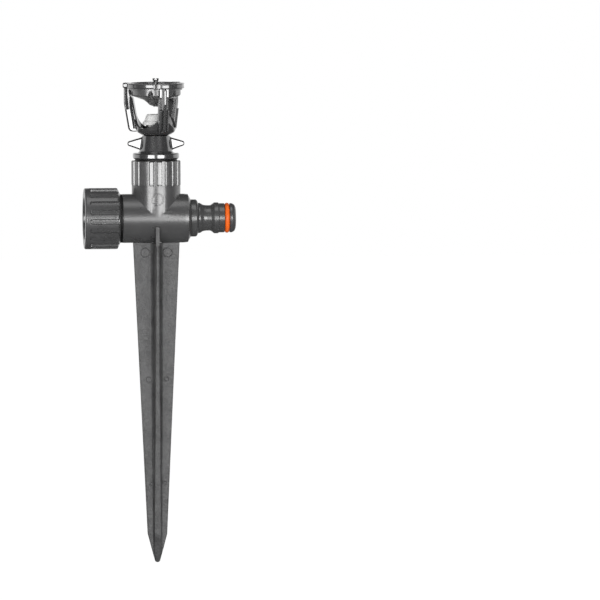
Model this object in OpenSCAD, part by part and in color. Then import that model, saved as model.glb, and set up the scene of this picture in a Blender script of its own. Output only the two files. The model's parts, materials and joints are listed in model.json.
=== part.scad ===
// Gear-drive garden sprinkler on a ground spike.
// Millimetres, +Z up. The origin lies on the spike's axis, on the top edge of its wings.
// +X points out of the hose nipple, -Y is the front.

/* [Tee] */
// Step from the pipe thread out to the horizontal tube
tube_step = 0.7; // [0.5:0.05:1]
// Radius of the water way through the tube
tube_bore_r = 10.2; // [9:0.1:10.5]
// Half length of the horizontal tube between its shoulders
tube_half_l = 19.4; // [18:0.1:22]
// Step from the threaded stub out to the upright socket
socket_step = 1.8; // [1:0.1:1.8]
// Height of the socket's shoulder above the tube's axis
socket_h = 18.9; // [17:0.1:22]
// Radius of the threaded stub on the socket
socket_stub_r = 12; // [11.8:0.05:12.2]
// Wall left round the gear cartridge in the threaded stub
stub_wall = 2.05; // [1.6:0.05:2.2]
// Height of the threaded stub on the socket
socket_stub_h = 7; // [5:0.1:8]

/* [End cap] */
// Wall of the end cap outside the pipe thread
cap_wall = 4.1; // [3.4:0.05:5.5]
// Length of the end cap
cap_l = 20.3; // [19:0.1:24]
// Number of grip grooves round the end cap
cap_grooves = 20; // [12:1:24]
// Width of one grip groove of the end cap
cap_groove_w = 2.7; // [1.5:0.1:3.2]
// Depth of one grip groove of the end cap
cap_groove_d = 0.9; // [0.3:0.1:1.2]
// Plain band left of the grooves
cap_band = 3.3; // [2.5:0.1:6]
// Thickness of the end cap's closed end
cap_end_t = 2.6; // [2:0.1:3.5]
// Width of the rim round the recess in the end face
cap_rim = 5.4; // [4.5:0.1:7]
// Depth of the recess in the end face
cap_recess_d = 3; // [1:0.1:4]
// Major radius of the pipe thread under the cap
pipe_thread_r = 13.15; // [12.9:0.05:13.3]
// Length of the threaded spigot under the cap
pipe_spigot_l = 14.5; // [10:0.1:15]
// Thickness of the seal between cap and tee
cap_seal_t = 1.3; // [1:0.1:2]

/* [Hose nipple] */
// Radius of the flange against the tee
nipple_flange_r = 10.55; // [10:0.05:10.8]
// Thickness of that flange
nipple_flange_t = 3.6; // [3:0.1:4.5]
// Smallest radius of the neck
nipple_neck_r = 7.1; // [6.8:0.1:7.6]
// Radius of the locking collar
nipple_collar_r = 8.78; // [8.5:0.01:9]
// Radius of the sealing lands
nipple_land_r = 8.28; // [8:0.01:8.4]
// Distance from the flange's face to the tip
nipple_l = 25.6; // [24:0.1:28]
// Radius of the water way
nipple_bore_r = 5; // [4:0.1:5.4]
// Radius of the spigot that enters the tee
nipple_spigot_r = 8.9; // [8.4:0.1:9]
// Length of the spigot that enters the tee
nipple_spigot_l = 12.5; // [10:0.1:14]
// Section diameter of the sealing ring on the nipple
nipple_ring_d = 2.4; // [2:0.1:2.8]
// Distance from the flange's face to that ring
nipple_ring_x = 20.5; // [19.5:0.1:21]
// Distance from the flange's face back to the seal inside the tee
nipple_seal_x = -7; // [-9:0.1:-3]

/* [Head] */
// Wall of the knurled collar round the threaded stub
collar_wall = 1.85; // [1.6:0.05:2.4]
// Height of the knurled collar
collar_h = 13.9; // [12:0.1:17]
// Number of grooves round the collar
collar_grooves = 18; // [12:1:24]
// Width of one collar groove
collar_groove_w = 2.3; // [1.2:0.1:2.8]
// Depth of one collar groove
collar_groove_d = 0.5; // [0.3:0.1:0.8]
// Thickness of the gasket on the collar
gasket_t = 1; // [0.6:0.1:1.5]
// Step from the collar in to the flange of the head's base
flange_step = 0.7; // [0.2:0.1:1]
// Thickness of that flange
flange_t = 3.4; // [2.6:0.1:4]
// Height of the cone above the flange
cone_h = 9.8; // [9:0.1:12]
// Radius of the cone at its foot
cone_foot_r = 9.4; // [8.8:0.1:9.6]
// Radius of the cone at its top
cone_top_r = 7.9; // [7.4:0.1:8.2]
// Distance from the axis to the tip of a wing fin
wing_reach = 16.2; // [14:0.1:18]
// Thickness of a wing where it leaves the cone
wing_t = 5.2; // [3:0.1:6]

/* [Cage] */
// Running gap between the cone and the turning cage
cage_gap = 0.4; // [0.3:0.1:0.8]
// Height of the cage from its foot to the underside of the ring
cage_h = 26.5; // [24:0.1:30]
// Wall of the cage's cup
cage_wall = 1.6; // [1.2:0.1:2]
// Width of one leg
leg_w = 5.3; // [4.4:0.1:6]
// Width of the middle rib of a leg
leg_rib_w = 2; // [1.4:0.1:2.4]
// Width of a leg's side ridge
leg_ridge_w = 1.1; // [0.8:0.1:1.3]
// Step from the middle rib back to the side ridges
leg_ridge_d = 0.5; // [0.2:0.1:1.2]
// Step from the middle rib back to the body of the leg
leg_rib_d = 1.7; // [1.3:0.1:2.4]
// Height of the upright part of a leg below the clamp ring
leg_upright_h = 7; // [4:0.1:10]
// Height of the pocket beside the middle rib, below the clamp ring
leg_pocket_h = 12; // [8:0.1:14]
// Step from the middle rib back to the floor of the pocket
leg_pocket_d = 2.7; // [2:0.1:2.9]
// Width of the wall that shows on each side of a leg
leg_flank = 0.5; // [0.2:0.1:0.8]
// Height of the hub that carries the nozzle
hub_h = 4.1; // [3:0.1:4.6]
// Reach of the middle rib beyond the cup at the foot
leg_foot_reach = 4.8; // [4:0.1:5.5]
// Reach of the middle rib beyond the clamp ring
leg_reach = 2.15; // [1.8:0.05:2.3]
// Height of the window's lowest point above the cage's foot
window_sill = 4; // [3:0.1:6]
// Radius of the round sill of a window
window_r = 10.3; // [9:0.1:11]

/* [Ring and deflector] */
// Width of the clamp ring outside the bowl
ring_w = 2.2; // [2:0.05:3]
// Height of the clamp ring
ring_h = 2.9; // [2.4:0.1:4]
// Cover of a lug over the leg's middle rib
lug_cover = 0.3; // [0.2:0.1:1]
// Width of a lug of the clamp ring
lug_w = 4.9; // [4.2:0.1:7]
// Radius of the deflector's bowl
bowl_r = 14.15; // [13.5:0.05:16]
// Height of the bowl's side below the ring
bowl_side_h = 4.2; // [3:0.1:5]
// Depth of the cone under the bowl
bowl_cone_h = 6.4; // [5:0.1:8]
// Width of a deflector channel
channel_w = 2.7; // [1.8:0.1:3]
// Distance of a channel's middle line from the axis
channel_offset = 2.9; // [2:0.1:3.4]
// Number of deflector channels
channels = 6; // [4:1:6]
// Wall of the bowl round the lid
bowl_wall = 1.75; // [1.4:0.05:2.2]
// Thickness of the lid
lid_t = 1.4; // [1:0.1:1.6]

/* [Adjusting screw] */
// Radius of the screw's head
screw_head_r = 1.85; // [1.6:0.05:2]
// Radius of the screw's shank
screw_r = 1.35; // [1.2:0.05:1.5]
// Radius of the screw's sealing piston
piston_r = 2.05; // [1.9:0.05:2.15]
// Distance that the screw can be turned in
screw_travel = 2.1; // [1.4:0.1:2.2]
// Pitch of the screw
screw_pitch = 0.7; // [0.5:0.1:0.8]

/* [Nozzle and stem] */
// Radius of the nozzle's skirt
nozzle_skirt_r = 7.7; // [7:0.1:8.2]
// Radius of the nozzle at its mouth
nozzle_mouth_r = 5.2; // [4.6:0.1:5.6]
// Height of the nozzle above the cage's floor
nozzle_h = 5.9; // [5.4:0.1:7]
// Radius of the jet hole
jet_r = 1.6; // [1:0.1:2]
// Radius of the stem in its bearing
stem_r = 4.9; // [4.6:0.1:5]
// Radius of the stem's threaded top
stem_top_r = 4.2; // [3.9:0.1:4.4]
// Wall of the hollow stem
stem_wall = 1.3; // [1:0.1:1.5]
// Radius of the stem's lower journal
journal_r = 2; // [1.8:0.1:2.1]

/* [Drive] */
// Module of the gears
gear_module = 0.265; // [0.25:0.005:0.27]
// Teeth of each small gear
pinion_teeth = 9; // [9:1:10]
// Teeth of each large gear
wheel_teeth = 27; // [24:1:27]
// Face width of a large gear
wheel_w = 1.5; // [1.2:0.1:1.7]
// Radius of the steel shafts
shaft_r = 0.55; // [0.4:0.05:0.6]
// Gap between the turbine wheel and the cartridge
turbine_gap = 0.8; // [0.6:0.1:1.5]
// Number of turbine blades
turbine_blades = 10; // [6:1:12]
// Height of the turbine wheel
turbine_h = 4.4; // [3.5:0.1:4.6]
// Wall of the gear cartridge
can_wall = 0.95; // [0.8:0.05:1]
// Thickness of the cartridge's plates
plate_t = 1.3; // [1.1:0.1:1.4]

/* [Spike] */
// Length of the spike below its wings' top edge
spike_l = 181.3; // [150:0.1:220]
// Reach of a side wing at its top edge
wing_top_r = 13.2; // [11:0.05:14]
// Reach of a front or back rib at its top
rib_top_r = 14.6; // [14.4:0.1:15]
// Reach of wings and ribs where the tip begins
spike_tip_r = 5.5; // [4:0.05:6]
// Length of the tip
spike_tip_l = 16.2; // [12:0.1:22]
// Thickness of the cross at the spike's axis
spike_core_t = 4.6; // [4:0.1:5.4]
// Thickness that a wing loses for each millimetre outwards
spike_draft = 0.2; // [0.1:0.01:0.2]
// Height of the front rib on the tube
rib_climb = 9.6; // [6:0.1:11]
// Gap between the wings' top edge and the tube
spike_gap = 0.25; // [0.1:0.05:0.5]
// Bevel along the edges of the spike
spike_bevel = 0.35; // [0.2:0.05:0.5]
// Radius of the stud that locks the spike in the tee
stud_r = 4; // [3:0.1:4.5]
// Height of that stud
stud_h = 5; // [4:0.1:5.5]

/* [Fits] */
// Gap between a fixed plug and its hole
fit_gap = 0.05; // [0.03:0.01:0.08]
// Gap between a turning shaft and its hole
run_gap = 0.05; // [0.03:0.01:0.08]
// Gap between faces that turn past each other
face_gap = 0.3; // [0.2:0.05:0.4]

/* [Hidden] */
$fn = 72;
eps = 0.01;

// Tee and its fittings
tube_r = pipe_thread_r + tube_step;
tube_z = tube_r + spike_gap;
socket_r = socket_stub_r + socket_step;
cap_r = pipe_thread_r + run_gap + cap_wall;
cap_recess_r = cap_r - cap_rim;
shoulder_z = tube_z + socket_h;
can_r = socket_stub_r - stub_wall;
thread_relief = 0.9;
seal_step = 0.1;
cap_x = -tube_half_l - cap_seal_t;
// Nipple and its two seals
spigot_ring_d = 1.4;
spigot_groove_r = nipple_spigot_r - spigot_ring_d;
land_groove_r = nipple_land_r - 2.15;
seat_gap = 0.02;
// Collar, gasket and base of the head
collar_r = socket_stub_r + fit_gap + collar_wall;
flange_r = collar_r - flange_step;
collar_top = shoulder_z + collar_h;
flange_z = collar_top + gasket_t;
cone_z = flange_z + flange_t;
cone_top = cone_z + cone_h;
base_stub_r = can_r + 1.15;
base_neck_r = base_stub_r - 0.5;
gasket_r = base_stub_r + 0.8;
base_stub_z = collar_top - 6.3;
// Cage and clamp ring
ring_r = bowl_r + ring_w;
leg_top_r = ring_r + leg_reach;
lug_r = leg_top_r + lug_cover;
cage_z = cone_top + cage_gap;
cage_floor_t = cage_wall;
hub_r = stem_top_r + 1.4;
nozzle_z = cage_z + cage_floor_t + hub_h;
stem_end = nozzle_z + 2.6;
ring_z = cage_z + cage_h;
leg_angles = [-75.5, 44.5, 164.5];
window_angles = [-15.5, 104.5, 224.5];
cup_foot_r = cone_top_r;
wall_foot_r = cup_foot_r + 3.4;
wall_foot_z = cage_z + 2.9;
wall_slope = (bowl_r + 1.2 - wall_foot_r) / (ring_z - wall_foot_z);
leg_foot_r = wall_foot_r + leg_foot_reach;
post_in = ring_r - 0.25;
post_out = leg_top_r - 0.7;
// Deflector and its screw
lid_r = bowl_r - bowl_wall - fit_gap;
bowl_z = ring_z - bowl_side_h;
bowl_top = ring_z + ring_h - 0.3;
tip_z = bowl_z - bowl_cone_h;
bead_h = 0.9;
bead_r = bowl_r + 0.9;
lid_z = bowl_top - 1.1 - lid_t;
boss_r = 3;
boss_top = bowl_top - 0.5;
screw_top = ring_z + ring_h + 2.7;
head_t = 1.3;
piston_l = 1.8;
piston_top = boss_top - 0.4;
screw_ring_w = 0.9;
// Drive
turbine_r = can_r - can_wall - turbine_gap;
pressure = 25;
addendum = 0.75;
dedendum = 1;
backlash = 0.05;
flank_points = 3;
gear_distance = gear_module * (pinion_teeth + wheel_teeth) / 2;
pin_angle = 90;
filter_z = tube_z + tube_bore_r + 2.2;
filter_flange_t = 1;
can_z = filter_z + filter_flange_t;
stator_z = can_z + 1.2;
pivot_z = can_z + 0.4;
plate_r = can_r - can_wall - fit_gap;
turbine_z = stator_z + plate_t + 0.8;
web_z = turbine_z + turbine_h + 0.8;
mesh_1 = web_z + plate_t + 0.5;
mesh_step = wheel_w + 0.4;
mesh_2 = mesh_1 + mesh_step;
mesh_3 = mesh_2 + mesh_step;
mesh_4 = mesh_3 + mesh_step;
plate_z = mesh_4 + wheel_w + 0.5;
can_top = plate_z + plate_t;
stem_z = can_top + 0.4;
thrust_z = flange_z + flange_t + 3.5;
thrust_t = 1.2;
washer_t = 0.6;
bearing_z = thrust_z + thrust_t + washer_t;
seal_h = 1.3;
base_chamber_r = 6.6;
wing_z = cone_z + 5.3;
wing_half_h = 3.55;
bush_r = stem_r + 0.9;

function arc(cx, cy, r, from, to, n) =
    [for (i = [0 : n]) let (a = from + (to - from) * i / n) [cx + r * cos(a), cy + r * sin(a)]];

// One hole or pin along X
module x_cylinder(x0, x1, r) {
    translate([x0, 0, tube_z]) rotate([0, 90, 0]) cylinder(h = x1 - x0, r = r);
}

// A ring of rectangular section, standing upright
module ring(z, h, r_in, r_out) {
    translate([0, 0, z]) difference() {
        cylinder(h = h, r = r_out);
        translate([0, 0, -eps]) cylinder(h = h + 2 * eps, r = r_in);
    }
}

// Ground spike: a cross of drafted wings, cut to the two outlines
module spike_arm(reach, length) {
    half = spike_core_t / 2;
    thin = half - spike_draft / 2 * reach;
    translate([0, 0, -spike_l]) linear_extrude(height = length)
        polygon([[-half, 0], [-thin, reach - spike_bevel], [-thin + spike_bevel, reach],
                 [thin - spike_bevel, reach], [thin, reach - spike_bevel], [half, 0]]);
}

module spike_outline(top_r, top_z) {
    tip_round = 1.6;
    polygon(concat(
        [[0, top_z], [top_r, top_z], [top_r, 0], [spike_tip_r, -spike_l + spike_tip_l]],
        arc(0, -spike_l + tip_round, tip_round, -14, -90, 5)));
}

module spike_wing(angle, top_r, top_z) {
    rotate([0, 0, angle]) intersection() {
        spike_arm(top_r, spike_l + top_z);
        translate([-spike_core_t, 0, 0]) rotate([90, 0, 90])
            linear_extrude(height = 2 * spike_core_t) spike_outline(top_r, top_z);
    }
}

module ground_spike() {
    color("dimgray") {
        difference() {
            union() {
                for (angle = [-90, 90]) spike_wing(angle, wing_top_r, 0);
                for (angle = [0, 180]) spike_wing(angle, rib_top_r, rib_climb);
                translate([0, 0, -3]) cylinder(h = 5, r = stud_r + 2);
            }
            x_cylinder(-tube_half_l, tube_half_l, tube_r + fit_gap);
        }
        translate([0, 0, -1]) cylinder(h = stud_h + 1, r = stud_r);
    }
}

// Tee body: horizontal tube, upright socket, pipe-thread spigot on the left
module tube_profile() {
    end_x = tube_half_l;
    polygon([[-end_x - pipe_spigot_l, 0], [-end_x - pipe_spigot_l, pipe_thread_r - 0.8],
             [-end_x - pipe_spigot_l + 0.8, pipe_thread_r], [-end_x - 3, pipe_thread_r],
             [-end_x - 2.4, pipe_thread_r - thread_relief], [-end_x, pipe_thread_r - thread_relief],
             [-end_x, tube_r - 0.2], [-end_x + 0.2, tube_r], [end_x - 4, tube_r],
             [end_x - 1.5, tube_r - 0.25], [end_x - 0.1, tube_r - 2.9], [end_x, 0]]);
}

module tee_body() {
    color("gray") difference() {
        union() {
            translate([0, 0, tube_z]) rotate([0, 90, 0]) rotate([0, 0, 180])
                rotate_extrude() mirror([1, 0]) rotate([0, 0, 90]) tube_profile();
            translate([0, 0, tube_z]) cylinder(h = socket_h, r = socket_r);
            translate([0, 0, tube_z]) cylinder(h = socket_h + socket_stub_h, r = socket_stub_r);
        }
        difference() {
            x_cylinder(-tube_half_l - pipe_spigot_l - eps, tube_half_l - nipple_spigot_l, tube_bore_r);
            cylinder(h = stud_h + 2, r = stud_r + 2);
        }
        x_cylinder(0, tube_half_l + eps, nipple_spigot_r + fit_gap);
        translate([0, 0, tube_z]) cylinder(h = socket_h, r = can_r - 1.3);
        translate([0, 0, filter_z]) cylinder(h = socket_h + socket_stub_h, r = can_r + fit_gap);
        translate([0, 0, -1]) cylinder(h = stud_h + 1 + fit_gap, r = stud_r + fit_gap);
        mould_mark();
    }
}

// A thin circle sunk in the front of the socket, left by the mould
module mould_mark() {
    mark_r = 3.5;
    translate([0, -socket_r + 0.3, tube_z + 11.2]) rotate([90, 0, 0]) difference() {
        cylinder(h = 2, r = mark_r);
        translate([0, 0, -eps]) cylinder(h = 3, r = mark_r - 0.5);
    }
}

// End cap: a grooved cap that screws over the pipe-thread spigot
module cap_profile() {
    round_r = 1.3;
    cap_end = cap_l - round_r;
    inner_end = cap_l - cap_recess_d - cap_end_t;
    polygon(concat(
        [[0, inner_end], [pipe_thread_r + run_gap, inner_end], [pipe_thread_r + run_gap, 0],
         [14.2, 0], [cap_r - 0.2, 1.4], [cap_r, 1.8]],
        arc(cap_r - round_r, cap_end, round_r, 0, 90, 5),
        [[cap_recess_r + 0.4, cap_l], [cap_recess_r, cap_l - 0.4],
         [cap_recess_r, cap_l - cap_recess_d], [0, cap_l - cap_recess_d]]));
}

module end_cap() {
    groove_turn = -3;
    color("gray") translate([cap_x, 0, tube_z]) rotate([0, -90, 0]) difference() {
        rotate_extrude() cap_profile();
        for (i = [0 : cap_grooves - 1]) rotate([0, 0, groove_turn + i * 360 / cap_grooves]) {
            translate([cap_r - cap_groove_d, -cap_groove_w / 2, -1])
                cube([3, cap_groove_w, cap_l - cap_band - cap_groove_w / 2 + 1]);
            translate([cap_r - cap_groove_d, 0, cap_l - cap_band - cap_groove_w / 2])
                rotate([0, 90, 0]) cylinder(h = 3, r = cap_groove_w / 2);
        }
    }
}

module cap_seal_ring() {
    color("black") translate([-tube_half_l, 0, tube_z]) rotate([0, -90, 0])
        ring(seat_gap, cap_seal_t - 2 * seat_gap, pipe_thread_r + run_gap, tube_r - seal_step);
}

// Hose nipple for a push-on connector, a revolved body with two ring grooves
module nipple_profile() {
    flange_x = nipple_flange_t;
    neck_x = flange_x + 5.1;
    collar_x = flange_x + 10.2;
    seal_x = nipple_seal_x;
    half = spigot_ring_d / 2 + 0.2;
    ring_half = nipple_ring_d / 2;
    polygon(concat(
        [[nipple_bore_r, -nipple_spigot_l], [nipple_spigot_r - 0.5, -nipple_spigot_l],
         [nipple_spigot_r, -nipple_spigot_l + 0.5], [nipple_spigot_r, seal_x - half],
         [spigot_groove_r, seal_x - half],
         [spigot_groove_r, seal_x + half],
         [nipple_spigot_r, seal_x + half], [nipple_spigot_r, 0], [nipple_flange_r, 0]],
        arc(nipple_flange_r - 1.5, flange_x - 1.1, 1.5, 0, 50, 4),
        arc(nipple_neck_r + 3.5, flange_x + 3, 2.69, 225, 195, 3),
        [[nipple_neck_r + 0.25, neck_x - 1.2], [nipple_neck_r, neck_x],
         [nipple_neck_r, neck_x + 1.9], [nipple_neck_r + 0.3, neck_x + 2.9],
         [nipple_collar_r - 0.3, collar_x - 0.7], [nipple_collar_r, collar_x],
         [nipple_collar_r, collar_x + 1.1], [nipple_land_r, collar_x + 2.2],
         [nipple_land_r, nipple_ring_x - ring_half], [land_groove_r, nipple_ring_x - ring_half],
         [land_groove_r, nipple_ring_x + ring_half], [nipple_land_r, nipple_ring_x + ring_half]],
        arc(nipple_land_r - 1.8, nipple_l - 1.8, 1.8, 0, 90, 5),
        [[nipple_bore_r, nipple_l]]));
}

module hose_nipple() {
    color("gray") translate([tube_half_l, 0, tube_z]) rotate([0, 90, 0])
        rotate_extrude() nipple_profile();
}

module o_ring(x, r_in, d) {
    translate([x, 0, tube_z]) rotate([0, 90, 0]) rotate_extrude()
        translate([r_in + d / 2, 0]) circle(r = d / 2);
}

module nipple_seal() {
    color("black") o_ring(tube_half_l + nipple_seal_x, spigot_groove_r + seat_gap, spigot_ring_d);
}

module nipple_o_ring() {
    color("darkorange")
        o_ring(tube_half_l + nipple_ring_x, land_groove_r + seat_gap, nipple_ring_d - 2 * seat_gap);
}

// Knurled collar that joins the tee and the head
module head_collar() {
    corner = 1;
    color("gray") difference() {
        translate([0, 0, shoulder_z]) rotate_extrude() polygon(concat(
            [[socket_stub_r + fit_gap, 0], [collar_r - 0.3, 0], [collar_r, 0.3]],
            arc(collar_r - corner, collar_h - corner, corner, 0, 90, 5),
            [[base_stub_r + fit_gap, collar_h], [base_stub_r + fit_gap, socket_stub_h + 0.3],
             [socket_stub_r + fit_gap, socket_stub_h + 0.3]]));
        for (i = [0 : collar_grooves - 1]) rotate([0, 0, -94.4 + i * 360 / collar_grooves])
            translate([collar_r - collar_groove_d, -collar_groove_w / 2, shoulder_z - 1])
                cube([3, collar_groove_w, collar_h + 2]);
    }
}

module collar_gasket() {
    color("black") ring(collar_top, gasket_t, base_neck_r + fit_gap, gasket_r);
}

// Base of the head: threaded stub, flange, cone and two wing fins
module base_profile() {
    fillet = 1.9;
    edge = 0.9;
    foot = cone_foot_r + fillet - 0.3;
    polygon(concat(
        [[can_r + fit_gap, base_stub_z], [base_stub_r, base_stub_z], [base_stub_r, collar_top],
         [base_neck_r, collar_top], [base_neck_r, flange_z]],
        arc(flange_r - edge, flange_z + edge, edge, -90, 0, 4),
        arc(flange_r - edge, cone_z - edge, edge, 0, 90, 4),
        [[foot + 0.3, cone_z]],
        arc(foot, cone_z + fillet, fillet, -100, -170, 5),
        [[cone_top_r + 0.15, cone_top - 0.15], [cone_top_r, cone_top], [bush_r + fit_gap, cone_top],
         [bush_r + fit_gap, bearing_z], [base_chamber_r, bearing_z],
         [base_chamber_r, cone_z - 0.6], [can_r - 0.75, can_top + fit_gap],
         [can_r + fit_gap, can_top + fit_gap]]));
}

// A wing that tapers to its tip, with rounded edges all round
module wing(side) {
    edge_r = 0.95;
    root_y = wing_t / 2 - edge_r;
    root_z = wing_half_h - edge_r;
    rotate([0, 0, side]) translate([0, 0, wing_z]) hull() {
        translate([wing_reach - edge_r, 0, 0]) sphere(r = edge_r, $fn = 32);
        for (y = [-root_y, root_y], z = [-root_z, root_z])
            translate([base_chamber_r + edge_r + 0.35, y, z]) sphere(r = edge_r, $fn = 32);
    }
}

module head_base() {
    color("dimgray") {
        rotate_extrude() base_profile();
        for (side = [0, 180]) wing(side);
    }
}

// Strainer that hangs in the tee below the drive
module inlet_filter() {
    basket_r = can_r - 1.6;
    wall = 0.8;
    bars = 12;
    foot_z = tube_z + nipple_spigot_r + face_gap;
    basket_h = filter_z - foot_z - wall;
    color("whitesmoke") difference() {
        union() {
            ring(filter_z, filter_flange_t, basket_r - wall, can_r);
            ring(foot_z + wall, basket_h + eps, basket_r - wall, basket_r);
            translate([0, 0, foot_z]) cylinder(h = wall + eps, r = basket_r);
        }
        for (i = [0 : bars - 1]) rotate([0, 0, i * 360 / bars])
            translate([basket_r - 2 * wall, -0.6, foot_z + 1.5 * wall])
                cube([3 * wall, 1.2, basket_h - wall]);
        for (i = [0 : 5], r = [0.3, 0.6]) rotate([0, 0, i * 60 + r * 50])
            translate([r * basket_r, 0, foot_z - 1]) cylinder(h = wall + 2, r = 0.6);
    }
}

// Fixed plate with slanting jets that turn the turbine
module stator_plate() {
    color("ivory") difference() {
        union() {
            translate([0, 0, stator_z]) cylinder(h = plate_t, r = plate_r);
            translate([0, 0, can_z]) cylinder(h = stator_z - can_z + eps, r = 1.8);
            ring(can_z, stator_z - can_z + eps, plate_r - 1, plate_r);
        }
        translate([0, 0, pivot_z]) cylinder(h = plate_t + 2, r = shaft_r + run_gap);
        for (i = [0 : 5]) rotate([0, 0, i * 60]) translate([6.2, 0, stator_z + plate_t / 2])
            rotate([50, 0, 0]) translate([-0.9, -0.5, -4]) cube([1.8, 1, 8]);
    }
}

// Turbine wheel with its pinion
module turbine_wheel() {
    hub_r = 2.4;
    blade_t = 0.7;
    color("ivory") difference() {
        union() {
            translate([0, 0, turbine_z]) cylinder(h = turbine_h, r = hub_r);
            translate([0, 0, turbine_z + turbine_h - eps])
                cylinder(h = mesh_1 - turbine_z - turbine_h + 2 * eps, r = 0.9);
            gear(pinion_teeth, mesh_1, wheel_w + 0.1, tooth_phase(pinion_teeth, pin_angle));
            ring(turbine_z, 0.8, turbine_r - 0.8, turbine_r);
            for (i = [0 : turbine_blades - 1]) rotate([0, 0, i * 360 / turbine_blades])
                intersection() {
                    translate([hub_r - 0.4, 0, turbine_z + turbine_h / 2]) rotate([-38, 0, 0])
                        translate([0, -blade_t / 2, -turbine_h])
                            cube([turbine_r - hub_r, blade_t, 2 * turbine_h]);
                    ring(turbine_z, turbine_h, hub_r - 0.5, turbine_r - 0.2);
                }
        }
        translate([0, 0, turbine_z - 1]) cylinder(h = 20, r = shaft_r + eps);
    }
}

module turbine_shaft() {
    color("silver") translate([0, 0, pivot_z + fit_gap])
        cylinder(h = mesh_4 + wheel_w + 0.3 - pivot_z, r = shaft_r);
}

// Involute gear of the drive, standing on z, turned by a part of its tooth pitch
function involute_angle(rb, r) = let (a = acos(min(1, rb / r))) tan(a) * 180 / PI - a;

function tooth(teeth) =
    let (rp = gear_module * teeth / 2,
         rb = rp * cos(pressure),
         ra = rp + addendum * gear_module,
         rr = rp - dedendum * gear_module,
         half = 90 / teeth - backlash / 2 / rp * 180 / PI + involute_angle(rb, rp),
         lo = max(rb, rr))
    concat(
        [[rr, -half]],
        [for (i = [0 : flank_points])
            let (r = lo + (ra - lo) * i / flank_points) [r, -half + involute_angle(rb, r)]],
        [for (i = [flank_points : -1 : 0])
            let (r = lo + (ra - lo) * i / flank_points) [r, half - involute_angle(rb, r)]],
        [[rr, half]]);

module gear(teeth, z, width, phase) {
    pitch = 360 / teeth;
    translate([0, 0, z]) rotate([0, 0, phase * pitch]) linear_extrude(height = width)
        polygon([for (k = [0 : teeth - 1], p = tooth(teeth))
            [p[0] * cos(p[1] + k * pitch), p[0] * sin(p[1] + k * pitch)]]);
}

// Phase that puts a tooth gap on the line towards the given angle
function gap_phase(teeth, angle) = angle * teeth / 360 + 0.5;
function tooth_phase(teeth, angle) = angle * teeth / 360;

module compound_gear(z, wheel_phase, pinion_phase) {
    difference() {
        union() {
            gear(wheel_teeth, z, wheel_w, wheel_phase);
            gear(pinion_teeth, z + wheel_w - eps, mesh_step + 0.1, pinion_phase);
        }
        translate([0, 0, z - 1]) cylinder(h = 10, r = shaft_r + run_gap);
    }
}

module on_pin() {
    translate([gear_distance * cos(pin_angle), gear_distance * sin(pin_angle), 0]) children();
}

module compound_gear_1() {
    color("white") on_pin() compound_gear(mesh_1,
        gap_phase(wheel_teeth, pin_angle + 180), tooth_phase(pinion_teeth, pin_angle + 180));
}

module compound_gear_2() {
    color("white") compound_gear(mesh_2,
        gap_phase(wheel_teeth, pin_angle), tooth_phase(pinion_teeth, pin_angle));
}

module compound_gear_3() {
    color("white") on_pin() compound_gear(mesh_3,
        gap_phase(wheel_teeth, pin_angle + 180), tooth_phase(pinion_teeth, pin_angle + 180));
}

module output_gear() {
    color("white") difference() {
        gear(wheel_teeth, mesh_4, wheel_w, gap_phase(wheel_teeth, pin_angle));
        translate([0, 0, mesh_4 - 1]) cylinder(h = 5, r = journal_r + fit_gap);
    }
}

module gear_pin() {
    color("silver") on_pin() translate([0, 0, web_z]) cylinder(h = can_top - web_z, r = shaft_r);
}

// Cartridge that holds the drive, with a web between turbine and gears
module plate_holes(z) {
    on_pin() translate([0, 0, z - 1]) cylinder(h = plate_t + 2, r = shaft_r + eps);
    for (angle = [-30, -90, -150]) rotate([0, 0, angle])
        translate([5.6, 0, z - 1]) cylinder(h = plate_t + 2, r = 1.7);
}

module gear_housing() {
    color("ivory") {
        ring(can_z, can_top - can_z, can_r - can_wall, can_r);
        difference() {
            translate([0, 0, web_z]) cylinder(h = plate_t, r = can_r - can_wall + eps);
            translate([0, 0, web_z - 1]) cylinder(h = plate_t + 2, r = 1);
            plate_holes(web_z);
        }
    }
}

module gear_plate() {
    color("ivory") difference() {
        translate([0, 0, plate_z]) cylinder(h = plate_t, r = plate_r);
        translate([0, 0, plate_z - 1]) cylinder(h = plate_t + 2, r = journal_r + run_gap);
        plate_holes(plate_z);
    }
}

// Hollow stem that carries the turning head
module drive_stem() {
    bore = stem_r - stem_wall;
    color("white") difference() {
        union() {
            translate([0, 0, mesh_4]) cylinder(h = stem_z - mesh_4 + 1, r = journal_r);
            translate([0, 0, stem_z]) cylinder(h = cage_z - stem_z, r = stem_r);
            translate([0, 0, thrust_z]) cylinder(h = thrust_t, r = base_chamber_r - face_gap);
            translate([0, 0, cage_z - eps]) cylinder(h = stem_end - cage_z + eps, r = stem_top_r);
        }
        translate([0, 0, mesh_4 - 1]) cylinder(h = 3.4, r = shaft_r + run_gap);
        translate([0, 0, stem_z + 1.2]) cylinder(h = cage_z - stem_z - 3, r = bore);
        translate([0, 0, stem_z + 2]) cylinder(h = stem_end - stem_z, r = stem_top_r - stem_wall);
        for (angle = [0, 90]) rotate([0, 0, angle])
            translate([-10, 0, stem_z + 2.9]) rotate([0, 90, 0]) cylinder(h = 20, r = 1.5);
    }
}

module thrust_washer() {
    color("silver")
        ring(thrust_z + thrust_t, washer_t - run_gap, stem_r + run_gap, base_chamber_r - face_gap);
}

module stem_seal() {
    color("black") ring(bearing_z, seal_h, stem_r + run_gap, bush_r);
}

module stem_bush() {
    color("peru") ring(bearing_z + seal_h, cone_top - bearing_z - seal_h, stem_r + run_gap, bush_r);
}

// Cage: a cup with three ribbed legs and round-silled windows
function wall_r(z) = wall_foot_r + (z - wall_foot_z) * wall_slope;

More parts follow.
